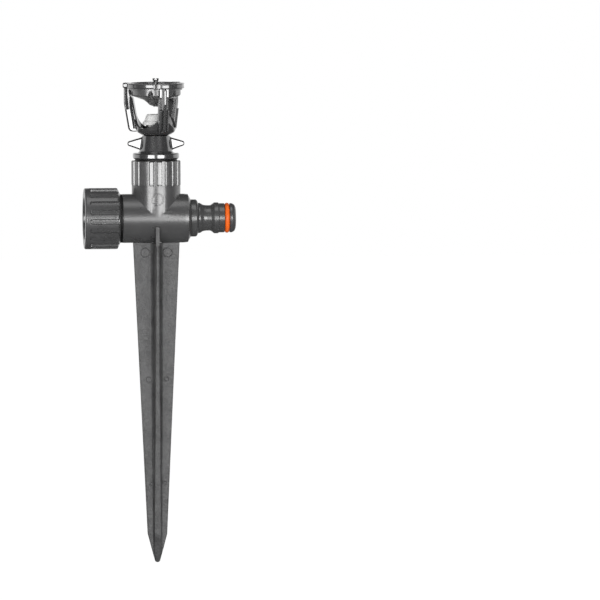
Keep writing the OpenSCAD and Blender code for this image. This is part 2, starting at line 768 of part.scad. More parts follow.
module cup_profile(top) {
    polygon([[stem_top_r + fit_gap, cage_z], [cup_foot_r, cage_z], [cup_foot_r + 0.7, cage_z + 0.25],
             [wall_foot_r - 0.7, cage_z + 1.5], [wall_foot_r, wall_foot_z],
             [wall_r(top), top], [wall_r(top) - cage_wall, top],
             [wall_foot_r - cage_wall, wall_foot_z],
             [wall_foot_r - cage_wall - 1, cage_z + cage_floor_t],
             [hub_r, cage_z + cage_floor_t], [hub_r, nozzle_z], [stem_top_r + fit_gap, nozzle_z]]);
}

module leg_plate(width, offset_y, outline) {
    translate([0, offset_y + width / 2, 0]) rotate([90, 0, 0])
        linear_extrude(height = width) polygon(outline);
}

// Outline of a leg whose outer line lies a step behind the middle rib
function leg_outline(step, corner, foot) = concat(
    [[wall_r(ring_z) - 0.1, ring_z], [wall_foot_r - 0.8, wall_foot_z], [wall_foot_r - 0.8, foot]],
    arc(leg_foot_r - step - corner, foot + corner, corner, -90, -8, 6),
    [[leg_top_r - step, ring_z - leg_upright_h], [leg_top_r - step, ring_z - 0.5],
     [leg_top_r - step - 0.4, ring_z]]);

// Room beside the middle rib under the clamp ring, with a rounded foot
module leg_pocket() {
    pocket_r = leg_top_r - leg_pocket_d;
    pocket_z = ring_z - leg_pocket_h;
    round_r = 1.4;
    leg_plate(leg_w + 1, 0, concat(
        [[leg_top_r + 1, ring_z + 1], [pocket_r, ring_z + 1]],
        arc(pocket_r + round_r, pocket_z + round_r, round_r, 180, 270, 4),
        [[leg_top_r + 1, pocket_z]]));
}

module cage_leg() {
    corner = 2.6;
    foot = cage_z + 1.7;
    bead_seat = ring_z - bead_h - seat_gap;
    leg_plate(leg_w + 2 * leg_flank, 0,
        [[wall_r(ring_z) - 0.2, ring_z], [wall_r(ring_z) - 0.2, bead_seat],
         [bowl_r + fit_gap, bead_seat], [bowl_r + fit_gap, bowl_z - 0.3],
         [wall_r(bowl_z) - cage_wall, bowl_z - 1.6],
         [wall_r(wall_foot_z + 1) - cage_wall, wall_foot_z + 1],
         [wall_foot_r - 0.2, wall_foot_z], [wall_r(ring_z) + 0.3, ring_z]]);
    difference() {
        union() {
            leg_plate(leg_w, 0, leg_outline(leg_rib_d, corner - 1, foot + 0.4));
            for (side = [-1, 1])
                leg_plate(leg_ridge_w, side * (leg_w - leg_ridge_w) / 2,
                    leg_outline(leg_ridge_d, corner - leg_ridge_d, foot + leg_ridge_d / 2));
        }
        leg_pocket();
    }
    leg_plate(leg_rib_w, 0, leg_outline(0, corner, foot));
    translate([post_in, -leg_rib_w / 2, ring_z - 1])
        cube([post_out - post_in, leg_rib_w, ring_h + 0.6]);
}

module cage() {
    skirt_top = cage_z + 10.5;
    window_start = hub_r + 0.4;
    color("dimgray") {
        difference() {
            rotate_extrude() cup_profile(skirt_top);
            for (angle = window_angles) rotate([0, 0, angle])
                translate([window_start, 0, cage_z + window_sill + window_r])
                    rotate([0, 90, 0]) cylinder(h = 15, r = window_r);
        }
        for (angle = leg_angles) rotate([0, 0, angle]) cage_leg();
    }
}

// Nozzle screwed on the stem inside the cage
module nozzle() {
    step_z = nozzle_z + 2.2;
    top = nozzle_z + nozzle_h;
    color("gainsboro") difference() {
        rotate_extrude() polygon(concat(
            [[0, nozzle_z], [nozzle_skirt_r - 0.2, nozzle_z], [nozzle_skirt_r, nozzle_z + 0.3],
             [nozzle_skirt_r - 0.6, step_z], [nozzle_skirt_r - 1.2, step_z + 0.2]],
            arc(nozzle_mouth_r - 0.5, top - 0.5, 0.5, 25, 90, 3), [[0, top]]));
        translate([0, 0, nozzle_z - 1])
            cylinder(h = stem_end - nozzle_z + 1.2, r = stem_top_r + fit_gap);
        translate([0, 0, nozzle_z]) cylinder(h = nozzle_h + 1, r = jet_r);
        translate([0, 0, stem_end]) cylinder(h = 1.8, r = stem_top_r - stem_wall);
    }
}

// Clamp ring with three lugs over the legs
module ring_profile(reach, round_r) {
    inner = bowl_r + 0.25;
    polygon(concat([[inner, ring_z], [reach - round_r, ring_z]],
        arc(reach - round_r, ring_z + round_r, round_r, -90, 0, 4),
        arc(reach - round_r, ring_z + ring_h - round_r, round_r, 0, 90, 4),
        [[inner, ring_z + ring_h]]));
}

module top_ring() {
    slot_w = leg_rib_w + 2 * fit_gap;
    corner_r = 1.4;
    color("silver") difference() {
        union() {
            rotate_extrude() ring_profile(ring_r, 0.5);
            for (angle = leg_angles) rotate([0, 0, angle]) intersection() {
                rotate_extrude() ring_profile(lug_r, 1.2);
                translate([0, 0, ring_z - 1]) linear_extrude(height = ring_h + 2) hull() {
                    translate([bowl_r + 0.5, -lug_w / 2]) square([1, lug_w]);
                    for (side = [-1, 1])
                        translate([lug_r - corner_r, side * (lug_w / 2 - corner_r)]) circle(r = corner_r);
                }
            }
        }
        for (angle = leg_angles) rotate([0, 0, angle])
            translate([post_in - fit_gap, -slot_w / 2, ring_z - 1])
                cube([post_out - post_in + 2 * fit_gap, slot_w, ring_h + 2]);
    }
}

// Deflector: a bowl whose underside carries channels beside the axis that throw the jets
module deflector_profile() {
    bore = screw_r + run_gap;
    polygon([[bore, tip_z + 0.3], [1.5, tip_z + 0.3], [3.6, tip_z + 1.1], [5, tip_z + 2.5],
             [6.9, tip_z + 3.9], [11.7, tip_z + 5.7], [bowl_r - 0.6, bowl_z - 0.15],
             [bowl_r, bowl_z + 0.5], [bowl_r, ring_z - bead_h], [bead_r, ring_z - bead_h],
             [bead_r, ring_z], [bowl_r, ring_z], [bowl_r, bowl_top - 0.3], [bowl_r - 0.3, bowl_top],
             [lid_r + fit_gap, bowl_top], [lid_r + fit_gap, lid_z], [lid_r - 1, lid_z],
             [lid_r - 1, lid_z - 0.9], [boss_r, lid_z - 0.9], [boss_r, boss_top],
             [piston_r + run_gap, boss_top], [piston_r + run_gap, piston_top - piston_l - screw_travel - 0.3],
             [bore, piston_top - piston_l - screw_travel - 0.3]]);
}

// One channel: a round-roofed groove bent along an arc that climbs outwards
module deflector_channel() {
    climb = 20;
    roof = channel_w / 2;
    translate([0, -channel_offset, tip_z + 2.6]) rotate([0, -climb, 0]) translate([1.5, 0, 0])
        rotate([90, 0, 90]) linear_extrude(height = 20) {
            circle(r = roof);
            translate([-roof, -9]) square([channel_w, 9]);
        }
}

module deflector() {
    color("dimgray") difference() {
        rotate_extrude() deflector_profile();
        for (i = [0 : channels - 1]) rotate([0, 0, -93.5 + i * 360 / channels]) deflector_channel();
    }
}

module deflector_lid() {
    color("gray") ring(lid_z, lid_t, boss_r + fit_gap, lid_r);
}

// Screw that breaks up the jet when it is turned in
module adjust_screw() {
    groove_z = piston_top - piston_l / 2;
    color("gray") difference() {
        union() {
            translate([0, 0, tip_z]) cylinder(h = screw_top - head_t - tip_z, r = screw_r);
            translate([0, 0, piston_top - piston_l]) cylinder(h = piston_l, r = piston_r);
            translate([0, 0, screw_top - head_t]) cylinder(h = head_t, r = screw_head_r);
        }
        ring(groove_z - screw_ring_w / 2, screw_ring_w, screw_r + run_gap, piston_r + 1);
        translate([-3, -0.3, screw_top - 0.7]) cube([6, 0.6, 2]);
    }
}

module screw_o_ring() {
    section = piston_r - screw_r - run_gap - seat_gap;
    color("black") translate([0, 0, piston_top - piston_l / 2]) rotate_extrude()
        translate([piston_r - section / 2, 0]) circle(r = section / 2);
}

ground_spike();
tee_body();
end_cap();
cap_seal_ring();
hose_nipple();
nipple_seal();
nipple_o_ring();
head_collar();
collar_gasket();
head_base();
inlet_filter();
stator_plate();
turbine_wheel();
turbine_shaft();
gear_housing();
gear_pin();
compound_gear_1();
compound_gear_2();
compound_gear_3();
gear_plate();
output_gear();
drive_stem();
thrust_washer();
stem_seal();
stem_bush();
cage();
nozzle();
top_ring();
deflector();
deflector_lid();
adjust_screw();
screw_o_ring();
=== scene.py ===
"""Gear-drive garden sprinkler on a ground spike, dressed for the camera.

Every size is in millimetres until a piece is finished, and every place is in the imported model's
frame: +Z up the spike, +X out of the hose nipple, -Y to the front.
"""

import json
import logging
import math
from dataclasses import dataclass, field
from enum import Enum
from typing import Callable, Iterable, NamedTuple, Optional, Sequence, Union

import bmesh
import bpy
from mathutils import Matrix, Vector

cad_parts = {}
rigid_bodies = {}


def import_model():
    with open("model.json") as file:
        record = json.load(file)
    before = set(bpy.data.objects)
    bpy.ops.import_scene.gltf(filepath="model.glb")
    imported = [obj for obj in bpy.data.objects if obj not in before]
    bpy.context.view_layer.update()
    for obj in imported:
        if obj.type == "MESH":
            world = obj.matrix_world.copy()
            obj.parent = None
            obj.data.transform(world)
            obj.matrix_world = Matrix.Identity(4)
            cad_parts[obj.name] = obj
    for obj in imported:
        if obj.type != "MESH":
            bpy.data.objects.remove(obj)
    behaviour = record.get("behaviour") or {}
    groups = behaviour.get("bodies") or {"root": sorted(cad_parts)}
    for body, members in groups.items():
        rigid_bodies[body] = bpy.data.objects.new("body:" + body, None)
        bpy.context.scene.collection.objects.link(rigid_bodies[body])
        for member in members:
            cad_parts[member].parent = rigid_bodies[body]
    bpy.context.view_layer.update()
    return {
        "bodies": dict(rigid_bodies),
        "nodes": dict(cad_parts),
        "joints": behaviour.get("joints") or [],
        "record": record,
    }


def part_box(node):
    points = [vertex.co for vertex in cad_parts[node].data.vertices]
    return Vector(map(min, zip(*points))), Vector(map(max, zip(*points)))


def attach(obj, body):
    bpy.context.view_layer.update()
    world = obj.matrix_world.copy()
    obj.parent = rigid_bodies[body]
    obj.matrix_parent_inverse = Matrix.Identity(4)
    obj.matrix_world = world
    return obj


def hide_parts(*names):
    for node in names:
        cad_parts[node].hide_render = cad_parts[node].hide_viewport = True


MM = 0.001
WELD = 0.0005
TUBE_Z = 14.1
LEG_ANGLES = (-75.5, 44.5, 164.5)
NOISE_ROUGHNESS = 0.55
TONE_STEP = (0.3, 0.7)
WHITE = (1.0, 1.0, 1.0, 1.0)
LOG = logging.getLogger("sprinkler")

Colour = tuple[float, float, float]
Rule = Callable[[Vector], Vector]
Outline = Sequence[tuple[float, ...]]
Socket = bpy.types.NodeSocket
Options = Optional[dict[Union[int, str], object]]
Term = Union["Value", float]


class Body(Enum):
    """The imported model's moving bodies."""

    BASE = "base"
    HEAD = "turning_head"
    CAP = "cap"
    CAP_CARRIAGE = "cap_carriage"
    SCREW = "screw"


class Slot(Enum):
    """The record's material slots."""

    SATIN = "satin_grey"
    GLOSS = "gloss_grey"
    RING = "ring_grey"
    LID = "lid_grey"
    ORANGE = "orange_rubber"
    BLACK = "black_rubber"
    PALE = "pale_plastic"
    BUSH = "bush_plastic"
    STEEL = "steel"


# Shader maths


class Value:
    """A number that varies over a surface; arithmetic on it adds Math nodes."""

    def __init__(self, tree: "Tree", socket: Socket) -> None:
        """Wraps one output socket of a node tree."""
        self.tree = tree
        self.socket = socket

    def _math(self, operation: str, *terms: Term) -> "Value":
        """Adds one Math node over the given terms."""
        return self.tree.value("ShaderNodeMath", {"operation": operation}, dict(enumerate(terms)))

    def __add__(self, other: Term) -> "Value":
        """Sum of two values."""
        return self._math("ADD", self, other)

    def __sub__(self, other: Term) -> "Value":
        """Difference of two values."""
        return self._math("SUBTRACT", self, other)

    def __rsub__(self, other: float) -> "Value":
        """A number less this value."""
        return self._math("SUBTRACT", other, self)

    def __mul__(self, other: Term) -> "Value":
        """Product of two values."""
        return self._math("MULTIPLY", self, other)

    __radd__ = __add__
    __rmul__ = __mul__

    def between(self, low: float, high: float) -> "Value":
        """Smooth step of this value.

        Args:
            low: where the step is still 0.
            high: where it has come to 1.

        Returns:
            The step, from 0 to 1.
        """
        sockets = {"Value": self, "From Min": low, "From Max": high}
        return self.tree.value("ShaderNodeMapRange", {"interpolation_type": "SMOOTHSTEP"}, sockets)


class Tree:
    """The shader nodes of a material or of the world."""

    def __init__(self, owner: Union[bpy.types.Material, bpy.types.World]) -> None:
        """Starts with no nodes.

        Args:
            owner: the material or world that the nodes belong to.
        """
        owner.use_nodes = True
        self.nodes = owner.node_tree.nodes
        self.links = owner.node_tree.links
        self.nodes.clear()

    def node(self, kind: str, settings: Options = None, sockets: Options = None) -> bpy.types.Node:
        """Adds one node.

        Args:
            kind: the node's type.
            settings: its properties, set before the sockets.
            sockets: values, links or Values for its inputs, by name or number.

        Returns:
            The new node.
        """
        made = self.nodes.new(kind)
        for key, setting in (settings or {}).items():
            setattr(made, key, setting)
        for key, given in (sockets or {}).items():
            self.feed(made.inputs[key], given)
        return made

    def value(self, kind: str, settings: Options, sockets: Options, output: int = 0) -> Value:
        """Adds one node and gives one of its outputs as a Value."""
        return Value(self, self.node(kind, settings, sockets).outputs[output])

    def feed(self, socket: Socket, given: object) -> None:
        """Links a Value or a socket to an input, or sets a constant on it.

        Args:
            socket: the input.
            given: what goes into it.
        """
        if isinstance(given, Value):
            self.links.new(given.socket, socket)
        elif isinstance(given, Socket):
            self.links.new(given, socket)
        else:
            socket.default_value = given

    def mixed(self, factor: Value, first: Socket, second: Socket) -> Socket:
        """Mixes two shaders."""
        return self.surface("ShaderNodeMixShader", {0: factor, 1: first, 2: second})

    def surface(self, kind: str, sockets: Options) -> Socket:
        """Adds one shader node and gives its output."""
        return self.node(kind, {}, sockets).outputs[0]


class Recipe(Tree):
    """The node tree of one material."""

    def __init__(self, name: str) -> None:
        """Starts a node tree that ends in one Principled shader.

        Args:
            name: the material's name.
        """
        self.material = bpy.data.materials.new(name)
        super().__init__(self.material)
        self.shader = self.node("ShaderNodeBsdfPrincipled")
        self.node("ShaderNodeOutputMaterial", {}, {"Surface": self.shader.outputs[0]})
        self.place = self.node("ShaderNodeTexCoord").outputs["Object"]

    def noise(self, size: float, detail: float = 3.0, stretch: Colour = (1, 1, 1)) -> Value:
        """Noise over the surface.

        Args:
            size: width of one blotch, in millimetres.
            detail: number of finer layers on it.
            stretch: how much the pattern is squeezed along each axis.

        Returns:
            The noise, from 0 to 1.
        """
        mapping = self.node("ShaderNodeMapping", {}, {"Vector": self.place, "Scale": stretch})
        sockets = {
            "Vector": mapping.outputs[0], "Scale": 1 / (size * MM), "Detail": detail,
            "Roughness": NOISE_ROUGHNESS,
        }
        return self.value("ShaderNodeTexNoise", {}, sockets)

    def blend(self, factor: Value, dark: Colour, light: Colour) -> Socket:
        """Mixes two colours by a value."""
        sockets = {0: factor, 6: (*dark, 1.0), 7: (*light, 1.0)}
        return self.node("ShaderNodeMix", {"data_type": "RGBA"}, sockets).outputs[2]

    def relief(self, height: Value, depth: float) -> Socket:
        """Turns a height into a surface normal; depth is in millimetres."""
        sockets = {"Height": height, "Strength": 1.0, "Distance": depth * MM}
        return self.node("ShaderNodeBump", {}, sockets).outputs[0]

    def dress(self, varying: dict, steady: dict) -> bpy.types.Material:
        """Feeds the shader.

        Args:
            varying: what changes over the surface, by the shader's socket names.
            steady: constants, by the shader's socket names.

        Returns:
            The finished material.
        """
        for key, given in {**varying, **steady}.items():
            self.feed(self.shader.inputs[key], given)
        return self.material


# Finishes


@dataclass(frozen=True)
class Moulding:
    """Moulded plastic: a fine spark-eroded grain, soft blotches and a little handling wear."""

    slot: Slot
    colour: Colour
    roughness: float
    label: str = "moulded"
    grain_size: float = 0.5
    grain_depth: float = 0.02
    mottle: float = 0.12
    speckle: float = 0.0
    speckle_size: float = 1.6
    speckle_step: tuple[float, float] = (0.42, 0.62)
    blotch_size: float = 9.0
    blotch_share: float = 0.55
    blotch_rough: float = 0.08
    scuff_size: float = 2.2
    scuff_stretch: Colour = (1, 1, 0.25)
    scuff_step: tuple[float, float] = (0.56, 0.72)
    scuff_rough: float = 0.06
    scuff_relief: float = 0.2
    rough_drop: float = 0.05
    lift: float = 0.002
    specular: float = 0.5
    ior: float = 1.5
    coat: float = 0.0
    coat_ior: float = 1.5
    coat_roughness: float = 0.08

    def material(self) -> bpy.types.Material:
        """Builds the plastic's material.

        Returns:
            The material, with its colour, roughness and grain.
        """
        recipe = Recipe(f"{self.slot.value}_{self.label}")
        grain = recipe.noise(self.grain_size, 4.0)
        blotch = recipe.noise(self.blotch_size)
        scuff = recipe.noise(self.scuff_size, 2.0, self.scuff_stretch).between(*self.scuff_step)
        tone = blotch * self.blotch_share + grain * (1 - self.blotch_share)
        if self.speckle:
            spots = recipe.noise(self.grain_size * self.speckle_size, 2.0)
            spots = spots.between(*self.speckle_step)
            tone = tone * (1 - self.speckle) + spots * self.speckle
        dark = tuple(c * (1 - self.mottle) for c in self.colour)
        light = tuple(c * (1 + self.mottle) + self.lift for c in self.colour)
        wear = scuff * self.scuff_rough + blotch * self.blotch_rough
        return recipe.dress(
            {
                "Base Color": recipe.blend(tone.between(*TONE_STEP), dark, light),
                "Roughness": wear + (self.roughness - self.rough_drop),
                "Normal": recipe.relief(grain + scuff * self.scuff_relief, self.grain_depth),
            },
            {
                "Specular IOR Level": self.specular,
                "IOR": self.ior,
                "Coat Weight": self.coat,
                "Coat IOR": self.coat_ior,
                "Coat Roughness": self.coat_roughness,
            },
        )


@dataclass(frozen=True)
class Rubber:
    """Moulded rubber: even colour, satin surface and a faint flow line."""

    slot: Slot
    colour: Colour
    roughness: float = 0.45
    grain_size: float = 0.35
    grain_depth: float = 0.006
    flow_size: float = 3.0
    flow_rough: float = 0.1
    shade: float = 0.88
    specular: float = 0.45

    def material(self) -> bpy.types.Material:
        """Builds the rubber's material.

        Returns:
            The material, with its flow lines and fine grain.
        """
        recipe = Recipe(self.slot.value + "_finish")
        grain = recipe.noise(self.grain_size, 2.0)
        flow = recipe.noise(self.flow_size, 2.0)
        dark = tuple(c * self.shade for c in self.colour)
        return recipe.dress(
            {
                "Base Color": recipe.blend(flow.between(*TONE_STEP), dark, self.colour),
                "Roughness": flow * self.flow_rough + (self.roughness - self.flow_rough / 2),
                "Normal": recipe.relief(grain, self.grain_depth),
            },
            {"Specular IOR Level": self.specular},
        )


@dataclass(frozen=True)
class GroundSteel:
    """Ground steel with fine turning lines."""

    slot: Slot
    colour: Colour
    roughness: float = 0.28
    line_width: float = 0.2
    line_stretch: Colour = (0.1, 0.1, 4.0)
    line_depth: float = 0.004
    line_rough: float = 0.15
    shade: float = 0.8

    def material(self) -> bpy.types.Material:
        """Builds the metal's material.

        Returns:
            The material, with its turning lines.
        """
        recipe = Recipe(self.slot.value + "_finish")
        lines = recipe.noise(self.line_width, 2.0, self.line_stretch)
        dark = tuple(c * self.shade for c in self.colour)
        return recipe.dress(
            {
                "Base Color": recipe.blend(lines, dark, self.colour),
                "Roughness": lines * self.line_rough + self.roughness,
                "Normal": recipe.relief(lines, self.line_depth),
            },
            {"Metallic": 1.0},
        )


FINISHES = (
    Moulding(
        Slot.SATIN, (0.062, 0.062, 0.063), 0.29, grain_size=0.6, grain_depth=0.005, specular=1.0,
        ior=1.62,
    ),
    Moulding(
        Slot.GLOSS, (0.032, 0.032, 0.033), 0.25, grain_size=0.7, grain_depth=0.0, specular=1.0,
        coat=1.0, coat_ior=2.0,
    ),
    Moulding(
        Slot.RING, (0.05, 0.05, 0.051), 0.28, grain_size=0.9, grain_depth=0.006, specular=0.8,
        coat=0.8, coat_ior=1.9, coat_roughness=0.12,
    ),
    Moulding(
        Slot.LID, (0.08, 0.08, 0.081), 0.5, grain_size=0.8, grain_depth=0.05, speckle=0.7,
        mottle=0.4,
    ),
    Moulding(Slot.PALE, (0.9, 0.9, 0.89), 0.35, mottle=0.02, grain_depth=0.004),
    Moulding(Slot.BUSH, (0.42, 0.27, 0.14), 0.4, mottle=0.15),
    Rubber(Slot.ORANGE, (0.95, 0.15, 0.008)),
    Rubber(Slot.BLACK, (0.004, 0.004, 0.004), 0.5),
    GroundSteel(Slot.STEEL, (0.62, 0.62, 0.61)),
)
SPIKE_GRAIN = Moulding(
    Slot.SATIN, (0.066, 0.066, 0.067), 0.44, "grained", 1.2, 0.22, mottle=0.45, specular=0.7,
)
SHEEN = Moulding(
    Slot.GLOSS, (0.08, 0.08, 0.081), 0.28, "sheen", 0.7, 0.006, specular=1.0, ior=1.72,
)


class Paintbox:
    """Makes each finish once and hands it out by slot."""

    def __init__(self) -> None:
        """Builds every finish's material."""
        self.materials = {finish.slot: finish.material() for finish in FINISHES}

    def paint(self, piece: bpy.types.Object, look: Union[Slot, Moulding]) -> None:
        """Puts a finish on a piece, in place of any that it has.

        Args:
            piece: the piece.
            look: a slot, for the slot's finish, or a finish of its own.
        """
        own = isinstance(look, Moulding)
        piece.data.materials.clear()
        piece.data.materials.append(look.material() if own else self.materials[look])


# Shapes


class Corner(NamedTuple):
    """A corner of an outline.

    The line that leaves it can be cut into several rows, for a surface that is shaped later.
    """

    x: float
    y: float
    fillet: float = 0.0
    rows: int = 1


def rounded(outline: Outline, closed: bool = True, steps: int = 5) -> list[Vector]:
    """Rounds an outline's corners.

    Args:
        outline: the corners in order, each with as many of a Corner's values as it needs.
        closed: whether the last corner joins the first.
        steps: straight pieces in each round.

    Returns:
        The points of the rounded outline.
    """
    points: list[Vector] = []
    corners = [Corner(*values) for values in outline]
    places = [Vector((corner.x, corner.y)) for corner in corners]
    count = len(corners)
    for index, corner in enumerate(corners):
        here, onward = places[index], places[(index + 1) % count]
        ends_here = not closed and index in (0, count - 1)
        if corner.fillet > 0 and not ends_here:
            points += fillet_points(places[index - 1], here, onward, corner.fillet, steps)
        else:
            points.append(here)
        start = points[-1]
        points += [start.lerp(onward, row / corner.rows) for row in range(1, corner.rows)]
    return points


def fillet_points(
    before: Vector, here: Vector, after: Vector, radius: float, steps: int
) -> list[Vector]:
    """Points of the arc that rounds one corner.

    Args:
        before: the corner before it.
        here: the corner that is rounded.
        after: the corner after it.
        radius: radius of the round, cut down where a side is too short.
        steps: straight pieces in the arc.

    Returns:
        The arc's points, from one side to the other.
    """
    back, onward = before - here, after - here
    half = back.angle(onward) / 2
    reach = min(radius / math.tan(half), 0.49 * back.length, 0.49 * onward.length)
    if reach < 1e-6 or half > math.radians(89.5):
        return [here]
    radius = reach * math.tan(half)
    middle = here + (back.normalized() + onward.normalized()).normalized() * radius / math.sin(half)
    first = here + back.normalized() * reach - middle
    last = here + onward.normalized() * reach - middle
    sweep = math.atan2(first.x * last.y - first.y * last.x, first.dot(last))
    return [middle + Matrix.Rotation(sweep * step / steps, 2) @ first for step in range(steps + 1)]


def ease(value: float, low: float, high: float) -> float:
    """Smooth step from 0 at low to 1 at high."""
    part = min(1.0, max(0.0, (value - low) / (high - low)))
    return part * part * (3 - 2 * part)


def off_nearest(angle: float, count: int, first: float = 0.0) -> float:
    """Angle in radians to the nearest of several evenly spread ones; first is in degrees."""
    pitch = math.tau / count
    return (angle - math.radians(first) + pitch / 2) % pitch - pitch / 2


def off_angle(angle: float, target: float) -> float:
    """Signed difference in degrees between an angle in radians and a target in degrees."""
    return (math.degrees(angle) - target + 180) % 360 - 180


def at_radius(place: Vector, radius: float) -> Vector:
    """A place moved straight in or out to a radius about Z."""
    keep = radius / math.hypot(place.x, place.y)
    return Vector((place.x * keep, place.y * keep, place.z))


def set_aside(place: Vector, distance: float) -> Vector:
    """A place set at a distance from the XZ plane, on its own side of it."""
    return Vector((place.x, math.copysign(distance, place.y), place.z))


def turn_z(degrees: float) -> Matrix:
    """Turn about Z."""
    return Matrix.Rotation(math.radians(degrees), 4, "Z")


def shift(x: float = 0.0, y: float = 0.0, z: float = 0.0) -> Matrix:
    """Shift in millimetres."""
    return Matrix.Translation((x, y, z))


def along_x(side: int, x: float, z: float) -> Matrix:
    """Lays a turned shape along X: its Z points to +X or -X, its foot stands at x."""
    return shift(x, 0, z) @ Matrix.Rotation(math.radians(90 * side), 4, "Y")


def block(
    inner: float, outer: float, low: float, high: float, inner_round: float = 0.0,
    outer_round: float = 0.0,
) -> Outline:
    """Corners of a rectangle.

    Args:
        inner: radius or place of its inner side.
        outer: the same for its outer side.
        low: height of its foot.
        high: height of its top.
        inner_round: round of its two inner corners.
        outer_round: round of its two outer corners.

    Returns:
        The outline, as radius and height.
    """
    return [
        (inner, low, inner_round), (outer, low, outer_round), (outer, high, outer_round),
        (inner, high, inner_round),
    ]


class Shape:
    """A mesh under construction, in millimetres."""

    def __init__(self) -> None:
        """Starts an empty mesh."""
        self.mesh = bmesh.new()

    @classmethod
    def turned(
        cls, outline: Outline, steps: int = 144, closed: bool = True, arc_steps: int = 5
    ) -> "Shape":
        """Spins an outline of (radius, height) round Z.

        Args:
            outline: the outline's corners.
            steps: facets round the axis.
            closed: whether the outline closes on itself; an open one starts and ends on the axis.
            arc_steps: straight pieces in each of the outline's rounds.

        Returns:
            The turned shape.
        """
        shape = cls()
        verts = [shape.mesh.verts.new((p.x, 0, p.y)) for p in rounded(outline, closed, arc_steps)]
        ends = verts[1:] + verts[:1] if closed else verts[1:]
        edges = [shape.mesh.edges.new(pair) for pair in zip(verts, ends)]
        bmesh.ops.spin(
            shape.mesh, geom=verts + edges, cent=(0, 0, 0), axis=(0, 0, 1), angle=math.tau,
            steps=steps, use_merge=True,
        )
        return shape.welded()

    @classmethod
    def extruded(cls, outline: Outline, depth: float) -> "Shape":
        """Pulls a flat outline in XY up along Z.

        Args:
            outline: the outline's corners.
            depth: how far it is pulled; down where negative.

        Returns:
            The extruded shape.
        """
        shape = cls()
        verts = [shape.mesh.verts.new((p.x, p.y, 0)) for p in rounded(outline, True, 4)]
        face = shape.mesh.faces.new(verts)
        grown = bmesh.ops.extrude_face_region(shape.mesh, geom=[face])["geom"]
        lifted = [item for item in grown if isinstance(item, bmesh.types.BMVert)]
        bmesh.ops.translate(shape.mesh, verts=lifted, vec=(0, 0, depth))
        return shape.welded()

    @classmethod
    def slab(cls, outline: Outline, width: float) -> "Shape":
        """Stands an outline of (radius, height) up, with its width centred on the XZ plane."""
        stand = shift(y=width / 2) @ Matrix.Rotation(math.radians(90), 4, "X")
        return cls.extruded(outline, width).placed(stand)

    @classmethod
    def of_node(cls, name: str) -> "Shape":
        """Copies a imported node, welded, for a finer surface on the same solid.

        Args:
            name: the node's name.

        Returns:
            The copy, in millimetres.
        """
        shape = cls()
        source = bpy.data.objects[name].data
        shape.mesh.from_mesh(source)
        bmesh.ops.scale(shape.mesh, vec=(1 / MM,) * 3, verts=shape.mesh.verts)
        bmesh.ops.remove_doubles(shape.mesh, verts=shape.mesh.verts, dist=WELD)
        bmesh.ops.dissolve_degenerate(shape.mesh, dist=WELD, edges=shape.mesh.edges)
        return shape

    def welded(self) -> "Shape":
        """Merges doubled corners and points every face outwards.

        Returns:
            The shape itself.
        """
        bmesh.ops.remove_doubles(self.mesh, verts=self.mesh.verts, dist=WELD)
        bmesh.ops.recalc_face_normals(self.mesh, faces=self.mesh.faces)
        return self

    def placed(self, matrix: Matrix) -> "Shape":
        """Moves the whole shape."""
        bmesh.ops.transform(self.mesh, matrix=matrix, verts=self.mesh.verts)
        return self

    def joined(self, others: Iterable["Shape"]) -> "Shape":
        """Takes other shapes into this one, each still closed by itself.

        Args:
            others: the shapes that it takes in; they are used up.

        Returns:
            The shape itself.
        """
        for other in others:
            loose = bpy.data.meshes.new("loose")
            other.mesh.to_mesh(loose)
            self.mesh.from_mesh(loose)
            bpy.data.meshes.remove(loose)
            other.mesh.free()
        return self

    def cut_into_rows(self, heights: Iterable[float]) -> "Shape":
        """Cuts the surface at several heights, for a later taper.

        Args:
            heights: the heights of the cuts.

        Returns:
            The shape itself.
        """
        for height in heights:
            geom = self.mesh.verts[:] + self.mesh.edges[:] + self.mesh.faces[:]
            bmesh.ops.bisect_plane(
                self.mesh, geom=geom, plane_co=(0, 0, height), plane_no=(0, 0, 1)
            )
        return self

    def moved_by(self, rule: Rule) -> "Shape":
        """Moves every corner by a rule.

        Args:
            rule: maps a corner's old place to its new one.

        Returns:
            The shape itself.
        """
        for vert in self.mesh.verts:
            vert.co = rule(vert.co)
        return self

    def bevelled(self, width: float, segments: int = 3, limit: float = 30.0) -> "Shape":
        """Rounds the sharp edges.

        Args:
            width: width of the bevel.
            segments: rows of faces in it.
            limit: the angle in degrees past which an edge is sharp.

        Returns:
            The shape itself.
        """
        sharp = [e for e in self.mesh.edges if e.calc_face_angle(0.0) > math.radians(limit)]
        bmesh.ops.bevel(
            self.mesh, geom=sharp, offset=width, offset_type="OFFSET", segments=segments,
            profile=0.5, affect="EDGES", clamp_overlap=True, material=-1,
        )
        return self

    def piece(self, name: str, crease: float = 32.0) -> bpy.types.Object:
        """Ends the shape as an object in metres at the origin.

        Args:
            name: the piece's name.
            crease: the angle in degrees past which an edge stays sharp.

        Returns:
            The new object, linked to the scene.
        """
        bmesh.ops.scale(self.mesh, vec=(MM,) * 3, verts=self.mesh.verts)
        for face in self.mesh.faces:
            face.smooth = True
        for edge in self.mesh.edges:
            edge.smooth = edge.calc_face_angle(0.0) < math.radians(crease)
        data = bpy.data.meshes.new(name)
        self.mesh.to_mesh(data)
        self.mesh.free()
        made = bpy.data.objects.new(name, data)
        bpy.context.scene.collection.objects.link(made)
        weights = made.modifiers.new("even shading", "WEIGHTED_NORMAL")
        weights.keep_sharp = True
        return made


